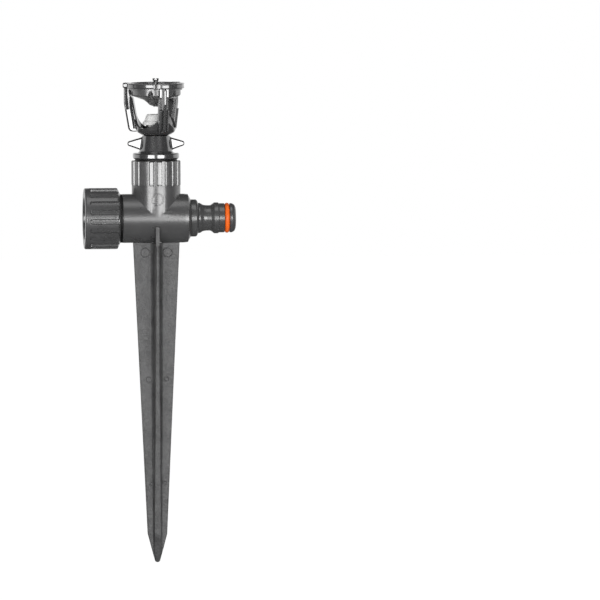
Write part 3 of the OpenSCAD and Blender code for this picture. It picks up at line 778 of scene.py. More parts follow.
@dataclass
class Workshop:
    """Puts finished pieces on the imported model."""

    frame: dict
    paints: Paintbox
    made: list[str] = field(default_factory=list)

    def fit(
        self, shape: Shape, name: str, look: Union[Slot, Moulding], body: Body,
        stands_for: Sequence[str] = (), crease: float = 32.0,
    ) -> None:
        """Finishes a shape and sets it on a body.

        Args:
            shape: the shape, in millimetres.
            name: the piece's name.
            look: its slot, or a finish of its own.
            body: the body that it rides on.
            stands_for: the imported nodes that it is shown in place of.
            crease: the angle past which its edges stay sharp.
        """
        piece = shape.piece(name, crease)
        self.paints.paint(piece, look)
        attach(piece, body.value)
        if stands_for:
            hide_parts(*stands_for)
        self.made.append(name)
        LOG.info("%s: %d faces on %s", name, len(piece.data.polygons), body.value)

    def paint_node(self, node: str) -> None:
        """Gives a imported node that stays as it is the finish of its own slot.

        Args:
            node: the node's name.
        """
        parts = self.frame["record"]["subparts"]
        name = next(part["material_slot"] for part in parts if part["node"] == node)
        self.paints.paint(self.frame["nodes"][node], Slot(name))


# Ground spike


@dataclass
class GroundSpike:
    """Cross of drafted wings with rounded roots, pulled in towards its tip."""

    length: float = 181.3
    wing_reach: float = 13.2
    rib_reach: float = 14.6
    tip_reach: float = 5.5
    tip_length: float = 16.2
    tip_round: float = 1.6
    half_core: float = 2.3
    draft: float = 0.1
    root_fillet: float = 2.8
    edge_round: float = 0.9
    lip_width: float = 1.15
    lip_slope: float = 0.7
    lip_height: float = 0.31
    lip_fall: float = 0.11
    climb: float = 10.2
    crest_width: float = 2.4
    crest_depth: float = 6.0
    crest_round: float = 0.35
    crest_pinch: float = 0.08
    top_gap: float = 0.22
    mark_rise: float = 0.32
    body_rows: int = 12
    tip_rows: int = 10
    tip_turns: tuple[float, ...] = (0, 25, 45, 60, 75, 84)
    marks: tuple[tuple[float, float, float], ...] = (
        (-6.5, -5.4, 2.9), (6.45, -5.3, 2.9), (-4.7, -77.4, 1.9),
        (5.4, -77.2, 1.6), (-3.1, -136.7, 1.3), (4.3, -136.1, 1.3),
    )

    def half_thickness(self, reach: float) -> float:
        """Half thickness of a wing at a distance from the axis."""
        return self.half_core - self.draft * reach

    def reach_at(self, height: float, full: float) -> float:
        """Reach of a wing or rib at a height.

        Args:
            height: height of the section, 0 at the top and negative below.
            full: the reach at the top.

        Returns:
            The reach there.
        """
        tip_start = -self.length + self.tip_length
        round_start = -self.length + self.tip_round
        if height > tip_start:
            return full + (self.tip_reach - full) * height / tip_start
        if height > round_start:
            part = (height - round_start) / (tip_start - round_start)
            return self.tip_round + (self.tip_reach - self.tip_round) * part
        rise = min(self.tip_round, max(0.0, round_start - height))
        return max(0.02, math.sqrt(self.tip_round**2 - rise**2))

    def tapered(self, place: Vector) -> Vector:
        """Where a corner of the straight cross goes in the tapered one.

        Args:
            place: its place in the straight cross.

        Returns:
            Its place in the tapered cross.
        """
        on_wing = abs(place.x) > abs(place.y)
        full = self.wing_reach if on_wing else self.rib_reach
        out, side = (place.x, place.y) if on_wing else (place.y, place.x)
        root = self.half_core / (1 + self.draft)
        reach = self.reach_at(place.z, full)
        pinch = min(1.0, reach / (root + 1.2))
        if abs(out) > root:
            part = (abs(out) - root) / (full - root)
            new_out = root * pinch + part * (reach - root * pinch)
        else:
            new_out = abs(out) * pinch
        new_side = (abs(side) + self.draft * max(0.0, abs(out) - max(new_out, root))) * pinch
        new_out, new_side = math.copysign(new_out, out), math.copysign(new_side, side)
        pair = (new_out, new_side) if on_wing else (new_side, new_out)
        return Vector((*pair, place.z))

    def cross(self) -> Shape:
        """The tapered cross with its rounded roots and edges.

        Returns:
            The cross, from the tube down to the tip.
        """
        root = self.half_core / (1 + self.draft)
        edge, soft = self.wing_reach, self.edge_round
        lip = self.half_thickness(edge) + self.lip_height
        start = edge - self.lip_width - self.lip_slope
        quarter = [
            (edge, lip - self.lip_fall, soft), (edge - self.lip_width, lip, 0.5),
            (start, self.half_thickness(start), 0.3), (root, root, self.root_fillet),
            (self.half_thickness(self.rib_reach), self.rib_reach, soft),
        ]
        half = quarter + [(-x, y, fillet) for x, y, fillet in reversed(quarter)]
        outline = half + [(-x, -y, fillet) for x, y, fillet in half]
        tip_start = -self.length + self.tip_length
        rows = [tip_start * row / self.body_rows for row in range(1, self.body_rows + 1)]
        rows += [
            tip_start - self.tip_length * row / self.tip_rows for row in range(1, self.tip_rows - 1)
        ]
        turns = (math.radians(angle) for angle in self.tip_turns)
        rows += [-self.length + self.tip_round * (1 - math.sin(turn)) for turn in turns]
        depth = self.length + self.top_gap
        straight = Shape.extruded(outline, -depth).placed(shift(z=self.top_gap))
        return straight.cut_into_rows(rows).moved_by(self.tapered)

    def crest(self, side: int) -> Shape:
        """The part of a rib that climbs the tube.

        Args:
            side: -1 in front and 1 behind.

        Returns:
            The crest, pinched towards its top.
        """
        inner, outer = self.rib_reach - self.crest_depth, self.rib_reach
        outline = [(inner, -1), (outer, -1), (outer, self.climb, 0.7), (inner, self.climb)]

        def narrowed(place: Vector) -> Vector:
            """Pinches the crest towards its top."""
            keep = 1 - self.crest_pinch * ease(place.z, 0, self.climb)
            return Vector((place.x, place.y * keep, place.z))

        slab = Shape.slab(outline, self.crest_width).bevelled(self.crest_round, 3)
        return slab.moved_by(narrowed).placed(turn_z(90 * side))

    def mark(self, x: float, z: float, radius: float) -> Shape:
        """A shallow ring that an ejector pin left on a wing's front face.

        Args:
            x: place of the ring's middle across the wings.
            z: height of the ring's middle.
            radius: the ring's outer radius.

        Returns:
            The ring, laid on the wing.
        """
        rise = self.mark_rise
        ring = Shape.turned(
            [(0, 0), (radius - 0.7, 0, 0.1), (radius - 0.4, rise, 0.15), (radius, rise, 0.15),
             (radius + 0.15, -0.5), (0, -0.5)],
            48, closed=False, arc_steps=2,
        )
        tilt = Matrix.Rotation(math.copysign(math.atan(self.draft), x), 4, "Z")
        face = -self.half_thickness(abs(x)) + 0.03
        return ring.placed(shift(x, face, z) @ tilt @ Matrix.Rotation(math.radians(90), 4, "X"))

    def build(self, shop: Workshop) -> None:
        """Makes the spike.

        Args:
            shop: finishes the pieces and sets them on the model.
        """
        parts = [self.crest(-1), self.crest(1)] + [self.mark(*mark) for mark in self.marks]
        spike = self.cross().joined(parts)
        shop.fit(spike, "spike_cross", SPIKE_GRAIN, Body.BASE, ["ground_spike"])


# Tee


@dataclass
class Tee:
    """Horizontal tube with upright socket; the left branch carries the pipe thread."""

    socket_r: float = 13.8
    mark_z: float = 25.4
    mark_r: float = 3.62
    mark_width: float = 0.72
    mark_height: float = 0.16
    edge_round: float = 0.35

    def mark(self) -> Shape:
        """The thin round ridge that the mould left on the socket's front.

        Returns:
            The ridge, wrapped round the socket.
        """
        inner, outer, rise = self.mark_r - self.mark_width, self.mark_r, self.mark_height
        outline = [(inner, -0.3), (inner, rise, 0.12), (outer, rise, 0.12), (outer, -0.3)]
        ring = Shape.turned(outline, 72, arc_steps=3)

        def wrapped(place: Vector) -> Vector:
            """Lays the flat ring round the socket."""
            front = math.sqrt(self.socket_r**2 - place.x**2)
            return Vector((place.x, -front - place.z, self.mark_z + place.y))

        return ring.moved_by(wrapped).welded()

    def build(self, shop: Workshop) -> None:
        """Makes the tee from its solid, with softened edges.

        Args:
            shop: finishes the pieces and sets them on the model.
        """
        body = Shape.of_node("tee_body").bevelled(self.edge_round, 6, 28).joined([self.mark()])
        shop.fit(body, "tee_skin", Slot.SATIN, Body.BASE, ["tee_body"], 17)


@dataclass
class EndCap:
    """Grooved screw cap over the pipe thread, with its seal."""

    tube_z: float = TUBE_Z
    foot_x: float = -20.7
    radius: float = 17.3
    length: float = 20.3
    bore_r: float = 13.2
    bore_depth: float = 15.5
    recess_r: float = 11.9
    recess_depth: float = 3.0
    edge_round: float = 2.0
    foot_bevel: float = 1.4
    band: float = 2.8
    grooves: int = 20
    groove_facets: int = 36
    groove_width: float = 2.7
    groove_depth: float = 1.1
    groove_turn: float = -3.0
    lip: float = 0.36
    rows: int = 50

    def grooved(self, place: Vector) -> Vector:
        """Presses the grip grooves into the outside.

        Args:
            place: a place on the plain cap, whose axis is Z.

        Returns:
            Its place on the grooved one.
        """
        across = math.hypot(place.x, place.y)
        if across < self.radius - self.groove_depth - 0.2:
            return place
        angle = math.atan2(place.y, place.x)
        aside = self.radius * off_nearest(angle, self.grooves, self.groove_turn)
        end = self.length - self.band - self.groove_width / 2
        apart = abs(aside) if place.z < end else math.hypot(aside, place.z - end)
        sunk = ease(self.groove_width / 2 - apart, -self.lip / 2, self.lip / 2)
        return at_radius(place, min(across, self.radius - self.groove_depth * sunk))

    def build(self, shop: Workshop) -> None:
        """Makes the cap and the seal ring in it.

        Args:
            shop: finishes the pieces and sets them on the model.
        """
        top, floor = self.length, self.length - self.recess_depth
        outline = [
            (0, self.bore_depth), (self.bore_r, self.bore_depth, 0.5), (self.bore_r, 0, 0.2),
            (self.bore_r + 1, 0, 0.2, 3), (self.radius - 0.2, self.foot_bevel, 0.4, 2),
            (self.radius, 2.0, 0.2, self.rows), (self.radius, top - self.edge_round),
            (self.radius, top, self.edge_round), (self.recess_r, top, 0.7),
            (self.recess_r - 0.3, floor, 0.5), (0, floor),
        ]
        cap = Shape.turned(outline, self.grooves * self.groove_facets, closed=False)
        cap.moved_by(self.grooved)
        cap.placed(along_x(-1, self.foot_x, self.tube_z))
        shop.fit(cap, "cap_grip", Slot.SATIN, Body.CAP, ["end_cap"])
        low, high = (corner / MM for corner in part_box("cap_seal_ring"))
        size = high - low
        section = block(self.bore_r, size.z / 2, 0, size.x, 0.2, 0.4)
        seal = Shape.turned(section, 96)
        seal.placed(along_x(-1, high.x, self.tube_z))
        shop.fit(seal, "cap_seal_skin", Slot.BLACK, Body.CAP_CARRIAGE, ["cap_seal_ring"])


@dataclass
class HoseNipple:
    """Turned nipple for a push-on connector, with its orange ring."""

    tube_z: float = TUBE_Z
    foot_x: float = 19.4
    length: float = 25.6
    bore_r: float = 5.0
    plug_r: float = 8.9
    plug_length: float = 12.5
    flange_r: float = 10.55
    flange_t: float = 3.6
    neck_r: float = 7.2
    collar_r: float = 8.78
    land_r: float = 8.28
    ring_x: float = 20.7
    ring_d: float = 2.7
    ring_r: float = 8.5

    def build(self, shop: Workshop) -> None:
        """Makes the nipple and its ring.

        Args:
            shop: finishes the pieces and sets them on the model.
        """
        flange, neck, collar = self.flange_t, self.flange_t + 5.4, self.flange_t + 10.7
        groove = self.ring_d / 2 + 0.15
        outline = [
            (self.bore_r, -self.plug_length), (self.plug_r, -self.plug_length, 0.5),
            (self.plug_r, 0), (self.flange_r, 0, 0.25),
            (self.flange_r, flange - 0.1, 1.4), (self.flange_r - 2.0, flange + 0.7, 0.8),
            (self.neck_r + 1.4, flange + 1.7, 2.0), (self.neck_r + 0.25, flange + 3.6, 3.0),
            (self.neck_r, neck, 3.0), (self.neck_r, neck + 2.4, 2.0),
            (self.neck_r + 0.6, neck + 3.2, 0.8), (self.collar_r, collar - 0.9, 0.9),
            (self.collar_r, collar + 1.3, 0.5), (self.land_r, collar + 1.9, 0.5),
            (self.land_r, self.ring_x - groove, 0.2), (self.land_r - 2.1, self.ring_x - groove),
            (self.land_r - 2.1, self.ring_x + groove), (self.land_r, self.ring_x + groove, 0.2),
            (self.land_r, self.length - 2.1, 0.9), (self.land_r - 0.75, self.length - 0.75, 1.0),
            (self.land_r - 2.2, self.length, 0.8), (self.bore_r, self.length, 0.4),
        ]
        body = Shape.turned(outline).placed(along_x(1, self.foot_x, self.tube_z))
        shop.fit(body, "nipple_skin", Slot.SATIN, Body.BASE, ["hose_nipple"])
        half = self.ring_d / 2
        section = block(self.ring_r - self.ring_d, self.ring_r, -half, half, half, half)
        ring = Shape.turned(section, 120, arc_steps=8)
        ring.placed(along_x(1, self.foot_x + self.ring_x, self.tube_z))
        shop.fit(ring, "nipple_ring_skin", Slot.ORANGE, Body.BASE, ["nipple_o_ring"])


# Head


@dataclass
class Collar:
    """Grooved union nut and the gasket on it."""

    foot_z: float = 33.0
    height: float = 13.9
    radius: float = 13.9
    bore_r: float = 12.05
    top_bore_r: float = 11.15
    bore_step: float = 7.3
    grooves: int = 18
    groove_facets: int = 24
    first: float = -94.4
    groove_width: float = 2.3
    groove_depth: float = 0.55
    lip: float = 0.45
    gasket_t: float = 1.0
    gasket_r: float = 11.9
    neck_r: float = 10.65

    def grooved(self, place: Vector) -> Vector:
        """Presses the grip grooves into the outside.

        Args:
            place: a place on the plain collar.

        Returns:
            Its place on the grooved one.
        """
        across = math.hypot(place.x, place.y)
        if across < self.radius - 1.2:
            return place
        angle = math.atan2(place.y, place.x)
        aside = abs(self.radius * off_nearest(angle, self.grooves, self.first))
        sunk = ease(self.groove_width / 2 - aside, -self.lip / 2, self.lip / 2)
        return at_radius(place, min(across, self.radius - self.groove_depth * sunk))

    def build(self, shop: Workshop) -> None:
        """Makes the collar and its gasket.

        Args:
            shop: finishes the pieces and sets them on the model.
        """
        top = self.foot_z + self.height
        outline = [
            (self.bore_r, self.foot_z), (self.radius, self.foot_z, 0.35, 10),
            (self.radius, top - 1.2), (self.radius, top, 1.1),
            (self.top_bore_r, top, 0.2), (self.top_bore_r, self.foot_z + self.bore_step),
            (self.bore_r, self.foot_z + self.bore_step),
        ]
        nut = Shape.turned(outline, self.grooves * self.groove_facets).moved_by(self.grooved)
        shop.fit(nut, "collar_grip", SHEEN, Body.BASE, ["head_collar"])
        section = block(self.neck_r, self.gasket_r, top, top + self.gasket_t, 0, 0.3)
        gasket = Shape.turned(section, 96)
        shop.fit(gasket, "gasket_skin", Slot.BLACK, Body.BASE, ["collar_gasket"])


@dataclass
class HeadBase:
    """Threaded stub, round-edged flange and cone with two tapering fins."""

    stub_z: float = 40.6
    stub_r: float = 11.1
    can_r: float = 10.0
    can_top: float = 46.85
    neck_r: float = 10.6
    collar_top: float = 46.9
    flange_z: float = 47.9
    flange_t: float = 3.4
    flange_r: float = 13.2
    flange_round: float = 0.9
    foot_r: float = 9.4
    top_r: float = 7.9
    top_z: float = 61.1
    bush_r: float = 5.85
    bearing_z: float = 56.6
    chamber_r: float = 6.6
    fin_z: float = 56.6
    fin_half: float = 3.62
    fin_reach: float = 16.2
    fin_half_t: float = 2.62
    fin_tip: float = 1.1
    fin_round: float = 0.95
    fin_fillet: float = 0.9
    fin_stations: tuple[float, ...] = (
        -0.04, 0, 0.015, 0.035, 0.06, 0.09, 0.12, 0.5, 0.91, 0.94, 0.965, 0.985, 0.995, 1.0,
    )

    def cone_r(self, height: float) -> float:
        """Radius of the cone at a height."""
        start = self.flange_z + self.flange_t
        return self.foot_r + (self.top_r - self.foot_r) * (height - start) / (self.top_z - start)

    def fin_section(self, along: float) -> list[Vector]:
        """One section across a fin.

        Args:
            along: 0 on the cone, 1 at the tip.

        Returns:
            The section's points, on the right side of the head.
        """
        length = self.fin_reach - self.top_r
        near = max(0.0, 1 - along * length / self.fin_fillet)
        flare = self.fin_fillet * (1 - math.sqrt(max(0.0, 1 - near * near)))
        left = max(0.0, 1 - (1 - along) * length / self.fin_round)
        drop = self.fin_round * (1 - math.sqrt(max(0.0, 1 - left * left)))
        half_y = self.fin_half_t + (self.fin_tip - self.fin_half_t) * along + flare - drop
        half_z = self.fin_half + (self.fin_tip - self.fin_half) * along + flare - drop
        soft = max(0.02, self.fin_round - drop)
        box = [(y * half_y, z * half_z, soft) for y, z in ((1, 1), (-1, 1), (-1, -1), (1, -1))]
        points = []
        for flat in rounded(box, True, 6):
            height = self.fin_z + flat.y
            foot = math.sqrt(max(1.0, self.cone_r(height) ** 2 - flat.x**2))
            points.append(Vector((foot + (self.fin_reach - foot) * along, flat.x, height)))
        return points

    def fin(self, side: int) -> Shape:
        """One fin, filleted to the cone and rounded all round.

        Args:
            side: 1 on the right and -1 on the left.

        Returns:
            The fin.
        """
        shape = Shape()
        rings = [
            [shape.mesh.verts.new(point) for point in self.fin_section(along)]
            for along in self.fin_stations
        ]
        count = len(rings[0])
        for low, high in zip(rings, rings[1:]):
            for index in range(count):
                after = (index + 1) % count
                shape.mesh.faces.new((low[index], low[after], high[after], high[index]))
        shape.mesh.faces.new(rings[0])
        shape.mesh.faces.new(rings[-1])
        return shape.welded().placed(turn_z(0 if side > 0 else 180))

    def build(self, shop: Workshop) -> None:
        """Makes the base.

        Args:
            shop: finishes the pieces and sets them on the model.
        """
        cone_z = self.flange_z + self.flange_t
        outline = [
            (self.can_r, self.stub_z), (self.stub_r, self.stub_z, 0.3),
            (self.stub_r, self.collar_top), (self.neck_r, self.collar_top),
            (self.neck_r, self.flange_z), (self.flange_r, self.flange_z, self.flange_round),
            (self.flange_r, cone_z, self.flange_round), (self.foot_r + 1.5, cone_z, 0.3),
            (self.foot_r + 0.1, cone_z + 0.6, 1.6), (self.top_r, self.top_z, 0.2),
            (self.bush_r, self.top_z), (self.bush_r, self.bearing_z),
            (self.chamber_r, self.bearing_z), (self.chamber_r, cone_z - 0.6),
            (self.can_r - 0.8, self.can_top), (self.can_r, self.can_top),
        ]
        body = Shape.turned(outline, arc_steps=8).joined([self.fin(1), self.fin(-1)])
        shop.fit(body, "head_base_skin", Slot.GLOSS, Body.BASE, ["head_base"])


# Cage


@dataclass
class Cage:
    """Cup with round-silled windows and three ribbed legs up to the ring."""

    foot_z: float = 61.5
    ring_z: float = 88.0
    wall: float = 1.6
    bore_r: float = 4.25
    foot_r: float = 7.9
    hub_r: float = 5.6
    hub_top: float = 67.2
    wall_foot_r: float = 11.3
    wall_foot_z: float = 64.4
    wall_top_r: float = 15.35
    skirt_top: float = 72.0
    sill: float = 4.0
    window_r: float = 10.3
    window_plane: float = 0.94
    facets: int = 360
    windows: tuple[float, ...] = (-15.5, 104.5, 224.5)
    legs: tuple[float, ...] = LEG_ANGLES
    leg_width: float = 5.3
    rib_width: float = 2.0
    ridge_width: float = 1.1
    ridge_step: float = 0.95
    body_step: float = 1.7
    rib_foot_r: float = 15.75
    rib_rise: float = 1.7
    rib_root: float = 0.8
    rib_top_r: float = 18.5
    upright_h: float = 8.6
    pocket_h: float = 12.0
    pocket_step: float = 2.7
    pocket_lean: float = 0.9
    pocket_bend: float = 4.6
    flank: float = 0.3
    flank_depth: float = 0.7
    flare_depth: float = 1.4
    rib_edge: float = 0.85
    rib_draft: float = 0.3
    ridge_edge: float = 0.5
    bowl_r: float = 14.15
    bead: float = 0.95
    bowl_z: float = 83.8
    rim: float = 0.6

    def wall_r(self, height: float) -> float:
        """Outer radius of the wall at a height."""
        slope = (self.wall_top_r - self.wall_foot_r) / (self.ring_z - self.wall_foot_z)
        return self.wall_foot_r + (height - self.wall_foot_z) * slope

    def rim_z(self, angle: float) -> float:
        """Height of the wall's rim.

        Args:
            angle: the direction in radians.

        Returns:
            The height, lowest in the middle of a window.
        """
        off = min(abs(off_angle(angle, window)) for window in self.windows)
        aside = self.window_plane * self.wall_r(self.skirt_top) * math.sin(math.radians(off))
        middle = self.foot_z + self.sill + self.window_r
        if aside >= self.window_r:
            return self.skirt_top
        return min(self.skirt_top, middle - math.sqrt(self.window_r**2 - aside**2))

    def draped(self, place: Vector) -> Vector:
        """Pulls the wall's rim down to the windows' sills.

        Args:
            place: a place on the cup with a level rim.

        Returns:
            Its place on the draped cup.
        """
        if place.z <= self.wall_foot_z + 0.05:
            return place
        angle = math.atan2(place.y, place.x)
        across = math.hypot(place.x, place.y)
        inset = self.wall_r(place.z) - across
        top = self.rim_z(angle)
        rim_start = self.skirt_top - self.rim
        if place.z > rim_start:
            height = top - (self.skirt_top - place.z)
        else:
            part = (place.z - self.wall_foot_z) / (rim_start - self.wall_foot_z)
            height = self.wall_foot_z + part * (top - self.rim - self.wall_foot_z)
        reach = self.wall_r(height) - inset
        return Vector((math.cos(angle) * reach, math.sin(angle) * reach, height))

    def cup(self) -> Shape:
        """The cup with its draped rim.

        Returns:
            The cup, with its hub.
        """
        inner_foot = self.wall_foot_r - self.wall
        start = self.skirt_top - self.rim
        outline = [
            (self.bore_r, self.foot_z), (self.foot_r, self.foot_z, 0.2),
            (self.foot_r + 0.7, self.foot_z + 0.25, 0.3),
            (self.wall_foot_r - 0.7, self.foot_z + 1.5, 0.6),
            (self.wall_foot_r, self.wall_foot_z, 0.0, 9), (self.wall_r(start), start),
            (self.wall_r(self.skirt_top), self.skirt_top, 0.4),
            (self.wall_r(self.skirt_top) - self.wall, self.skirt_top, 0.4),
            (self.wall_r(start) - self.wall, start, 0.0, 9), (inner_foot, self.wall_foot_z),
            (inner_foot - 1, self.foot_z + self.wall, 0.6),
            (self.hub_r, self.foot_z + self.wall, 0.5), (self.hub_r, self.hub_top, 0.2),
            (self.bore_r, self.hub_top),
        ]
        return Shape.turned(outline, self.facets).moved_by(self.draped)

    def strip(self, outline: Outline, width: float, offset: float, soft: float) -> Shape:
        """A strip of a leg: an outline of (radius, height) with a width across it."""
        return Shape.slab(outline, width).bevelled(soft, 3, 35).placed(shift(y=offset))

    def bar(self, step: float, pocket: bool = True) -> Outline:
        """Outline of a strip of a leg.

        Args:
            step: how far its outer line lies behind the middle rib's.
            pocket: whether it steps back beside the rib under the ring.

        Returns:
            The outline's corners, as radius and height.
        """
        foot = self.foot_z + self.rib_rise + step / 2
        bend, floor = self.ring_z - self.upright_h, self.ring_z - self.pocket_h
        foot_r, top_r = self.rib_foot_r - step, self.rib_top_r - step
        root_r, deep_r = self.wall_foot_r - self.rib_root, self.rib_top_r - self.pocket_step
        outline = [
            (self.wall_r(self.ring_z) - 0.1, self.ring_z), (root_r, self.wall_foot_z),
            (root_r, foot), (foot_r, foot, 2.6 - step / 2),
        ]
        if pocket:
            edge_r = foot_r + (top_r - foot_r) * (floor - foot) / (bend - foot)
            outline += [
                (edge_r, floor, 0.3), (deep_r - self.pocket_lean, floor, 1.4),
                (deep_r, self.ring_z - self.pocket_bend, 3.0), (deep_r, self.ring_z),
            ]
        else:
            outline += [(top_r, bend, 2.0), (top_r, self.ring_z)]
        return outline

    def leg(self, angle: float) -> Shape:
        """One leg: a wall, a bar on it, a middle rib and a ridge along each side.

        Args:
            angle: its direction in degrees.

        Returns:
            The leg.
        """
        top, start = self.ring_z, self.wall_foot_z
        seat = top - self.bead
        wall_top = self.wall_r(top)
        plate = self.strip(
            [(wall_top + 0.2, top), (wall_top - 0.2, top), (wall_top - 0.2, seat),
             (self.bowl_r + 0.05, seat), (self.bowl_r + 0.05, self.bowl_z - 0.3),
             (self.wall_r(self.bowl_z) - self.wall, self.bowl_z - 1.6, 0.5),
             (self.wall_r(start + 1) - self.wall, start + 1), (self.wall_foot_r - 0.2, start)],
            self.leg_width + 2 * self.flank, 0, 0.15,
        ).moved_by(self.undercut)
        body = self.strip(self.bar(self.body_step), self.leg_width - 0.1, 0, 0.1)
        rib = self.strip(self.bar(0, False), self.rib_width, 0, self.rib_edge)
        aside = (self.leg_width - self.ridge_width) / 2
        ridges = [
            self.strip(self.bar(self.ridge_step), self.ridge_width, aside * side, self.ridge_edge)
            .moved_by(self.rolled)
            for side in (-1, 1)
        ]
        return plate.joined([body, rib, self.wedge(), self.flare()] + ridges).placed(turn_z(angle))

    def rolled(self, place: Vector) -> Vector:
        """Makes the round edge along a ridge's outer side twice as deep.

        Args:
            place: a place on the ridge.

        Returns:
            The place after that.
        """
        edge = self.ridge_edge
        inside = edge - max(0.0, self.leg_width / 2 - abs(place.y))
        sunk = edge - math.sqrt(max(0.0, edge**2 - inside**2)) if inside > 0 else 0.0
        return Vector((place.x - sunk, place.y, place.z))

    def undercut(self, place: Vector) -> Vector:
        """Narrows a leg's wall inwards, as the windows on both sides cut it at 60 degrees."""
        depth = max(0.0, self.wall_r(place.z) - place.x - self.flank_depth)
        return set_aside(place, max(0.4, abs(place.y) - depth * math.sqrt(3))) if depth else place

    def wedge(self) -> Shape:
        """The middle rib's drafted flanks beside the pockets, thicker towards the root.

        Returns:
            The flanks, as one slab through the rib.
        """
        low, bend = self.ring_z - self.pocket_h - 0.3, self.ring_z - self.upright_h
        inner, outer = self.rib_top_r - self.pocket_step - 0.3, self.rib_top_r - self.rib_edge
        outline = [
            (inner, low), (outer - 0.77, low), (outer, bend), (outer, self.ring_z),
            (inner, self.ring_z),
        ]

        def drafted(place: Vector) -> Vector:
            """Thickens the slab inwards."""
            return set_aside(place, abs(place.y) + (outer - place.x) * self.rib_draft - 0.01)

        return Shape.slab(outline, self.rib_width).moved_by(drafted)

    def flare(self) -> Shape:
        """The drafted flanks between a bar and its wall, wider towards the wall.

        Returns:
            The flanks, as one slab through the bar.
        """
        low, bend, top = self.wall_foot_z + 0.6, self.ring_z - self.pocket_h, self.bowl_z - 1
        reach = self.flare_depth
        outline = [
            (self.wall_r(low) + reach, low), (self.wall_r(bend) + reach, bend),
            (self.wall_r(top) + 0.3, top), (self.wall_r(top), top), (self.wall_r(low), low),
        ]

        def flared(place: Vector) -> Vector:
            """Narrows the slab outwards."""
            part = (place.x - self.wall_r(place.z)) / reach
            return set_aside(place, abs(place.y) - part * (self.flank + 0.05))

        return Shape.slab(outline, self.leg_width + 2 * self.flank - 0.02).moved_by(flared)

    def lip(self) -> Shape:
        """The narrow slanting rim on which the cup turns over the cone.

        Returns:
            The rim.
        """
        inner, outer = self.foot_r - 1.7, self.foot_r - 0.2
        low, high = self.foot_z - 0.35, self.foot_z + 0.05
        return Shape.turned([(inner, low), (inner + 0.5, low), (outer, high), (inner, high)])

    def build(self, shop: Workshop) -> None:
        """Makes the cage.

        Args:
            shop: finishes the pieces and sets them on the model.
        """
        body = self.cup().joined([self.lip()] + [self.leg(angle) for angle in self.legs])
        shop.fit(body, "cage_skin", Slot.GLOSS, Body.HEAD, ["cage"])


@dataclass
class Nozzle:
    """Pale nozzle with a stepped skirt and a jet hole."""

    foot_z: float = 67.2
    skirt_r: float = 7.7
    step: float = 2.2
    mouth_r: float = 5.2
    height: float = 5.9
    jet_r: float = 1.6
    bore_r: float = 4.25
    bore_depth: float = 2.8

    def build(self, shop: Workshop) -> None:
        """Makes the nozzle.

        Args:
            shop: finishes the pieces and sets them on the model.
        """
        foot, top = self.foot_z, self.foot_z + self.height
        outline = [
            (self.bore_r, foot), (self.skirt_r, foot, 0.3),
            (self.skirt_r - 0.5, foot + self.step - 0.3, 0.35),
            (self.skirt_r - 1.2, foot + self.step + 0.1, 0.15),
            (self.mouth_r, top, 0.6), (self.jet_r + 1.6, top, 0.2), (self.jet_r, top - 0.9, 0.2),
            (self.jet_r, foot + self.bore_depth), (self.bore_r, foot + self.bore_depth),
        ]
        shop.fit(Shape.turned(outline, 120), "nozzle_skin", Slot.PALE, Body.HEAD, ["nozzle"])


# Ring, deflector and screw


@dataclass
class TopRing:
    """Clamp ring with a lug over each leg and shallow recesses between them."""

    foot_z: float = 88.0
    height: float = 2.9
    radius: float = 16.35
    inner_r: float = 14.4
    lug_r: float = 18.8
    lug_width: float = 4.9
    lug_round: float = 0.8
    recess: float = 0.28
    recess_band: tuple[float, float] = (0.3, 0.4)
    recess_ease: tuple[float, float] = (3.0, 2.0)
    facets: int = 720
    legs: tuple[float, ...] = LEG_ANGLES
    recesses: tuple[tuple[float, float], ...] = ((15.0, 26.0), (52.0, 97.0))

    def shaped(self, place: Vector) -> Vector:
        """Presses the recesses into the ring's outside.

        Args:
            place: a place on the plain ring.

        Returns:
            Its place on the recessed one.
        """
        across = math.hypot(place.x, place.y)
        if across < (self.inner_r + self.radius) / 2:
            return place
        angle = math.atan2(place.y, place.x)
        middle = self.foot_z + self.height / 2
        full, none = (self.height * share for share in self.recess_band)
        flat = 1 - ease(abs(place.z - middle), full, none)
        before, after = self.recess_ease
        sunk = 0.0
        for start, end in self.recesses:
            for leg in self.legs:
                off = off_angle(angle, leg) % 360
                into = ease(off, start - before, start + after)
                sunk += into * (1 - ease(off, end - after, end + before))
        return at_radius(place, across - self.recess * flat * sunk)

    def lug(self, angle: float) -> Shape:
        """A rounded block that holds one leg.

        Args:
            angle: the leg's direction in degrees.

        Returns:
            The block.
        """
        low, high = self.foot_z - 0.05, self.foot_z + self.height + 0.1
        outline = block(self.inner_r + 0.5, self.lug_r, low, high)
        lug = Shape.slab(outline, self.lug_width).bevelled(self.lug_round, 4)
        return lug.placed(turn_z(angle))

    def build(self, shop: Workshop) -> None:
        """Makes the ring.

        Args:
            shop: finishes the pieces and sets them on the model.
        """
        top = self.foot_z + self.height
        outline = [
            (self.inner_r, self.foot_z), (self.radius, self.foot_z, 0.4, 9),
            (self.radius, top, 0.6, 3), (self.inner_r, top, 0.25),
        ]
        ring = Shape.turned(outline, self.facets).moved_by(self.shaped)
        ring.joined(self.lug(leg) for leg in self.legs)
        shop.fit(ring, "top_ring_skin", Slot.RING, Body.HEAD, ["top_ring"], 40)


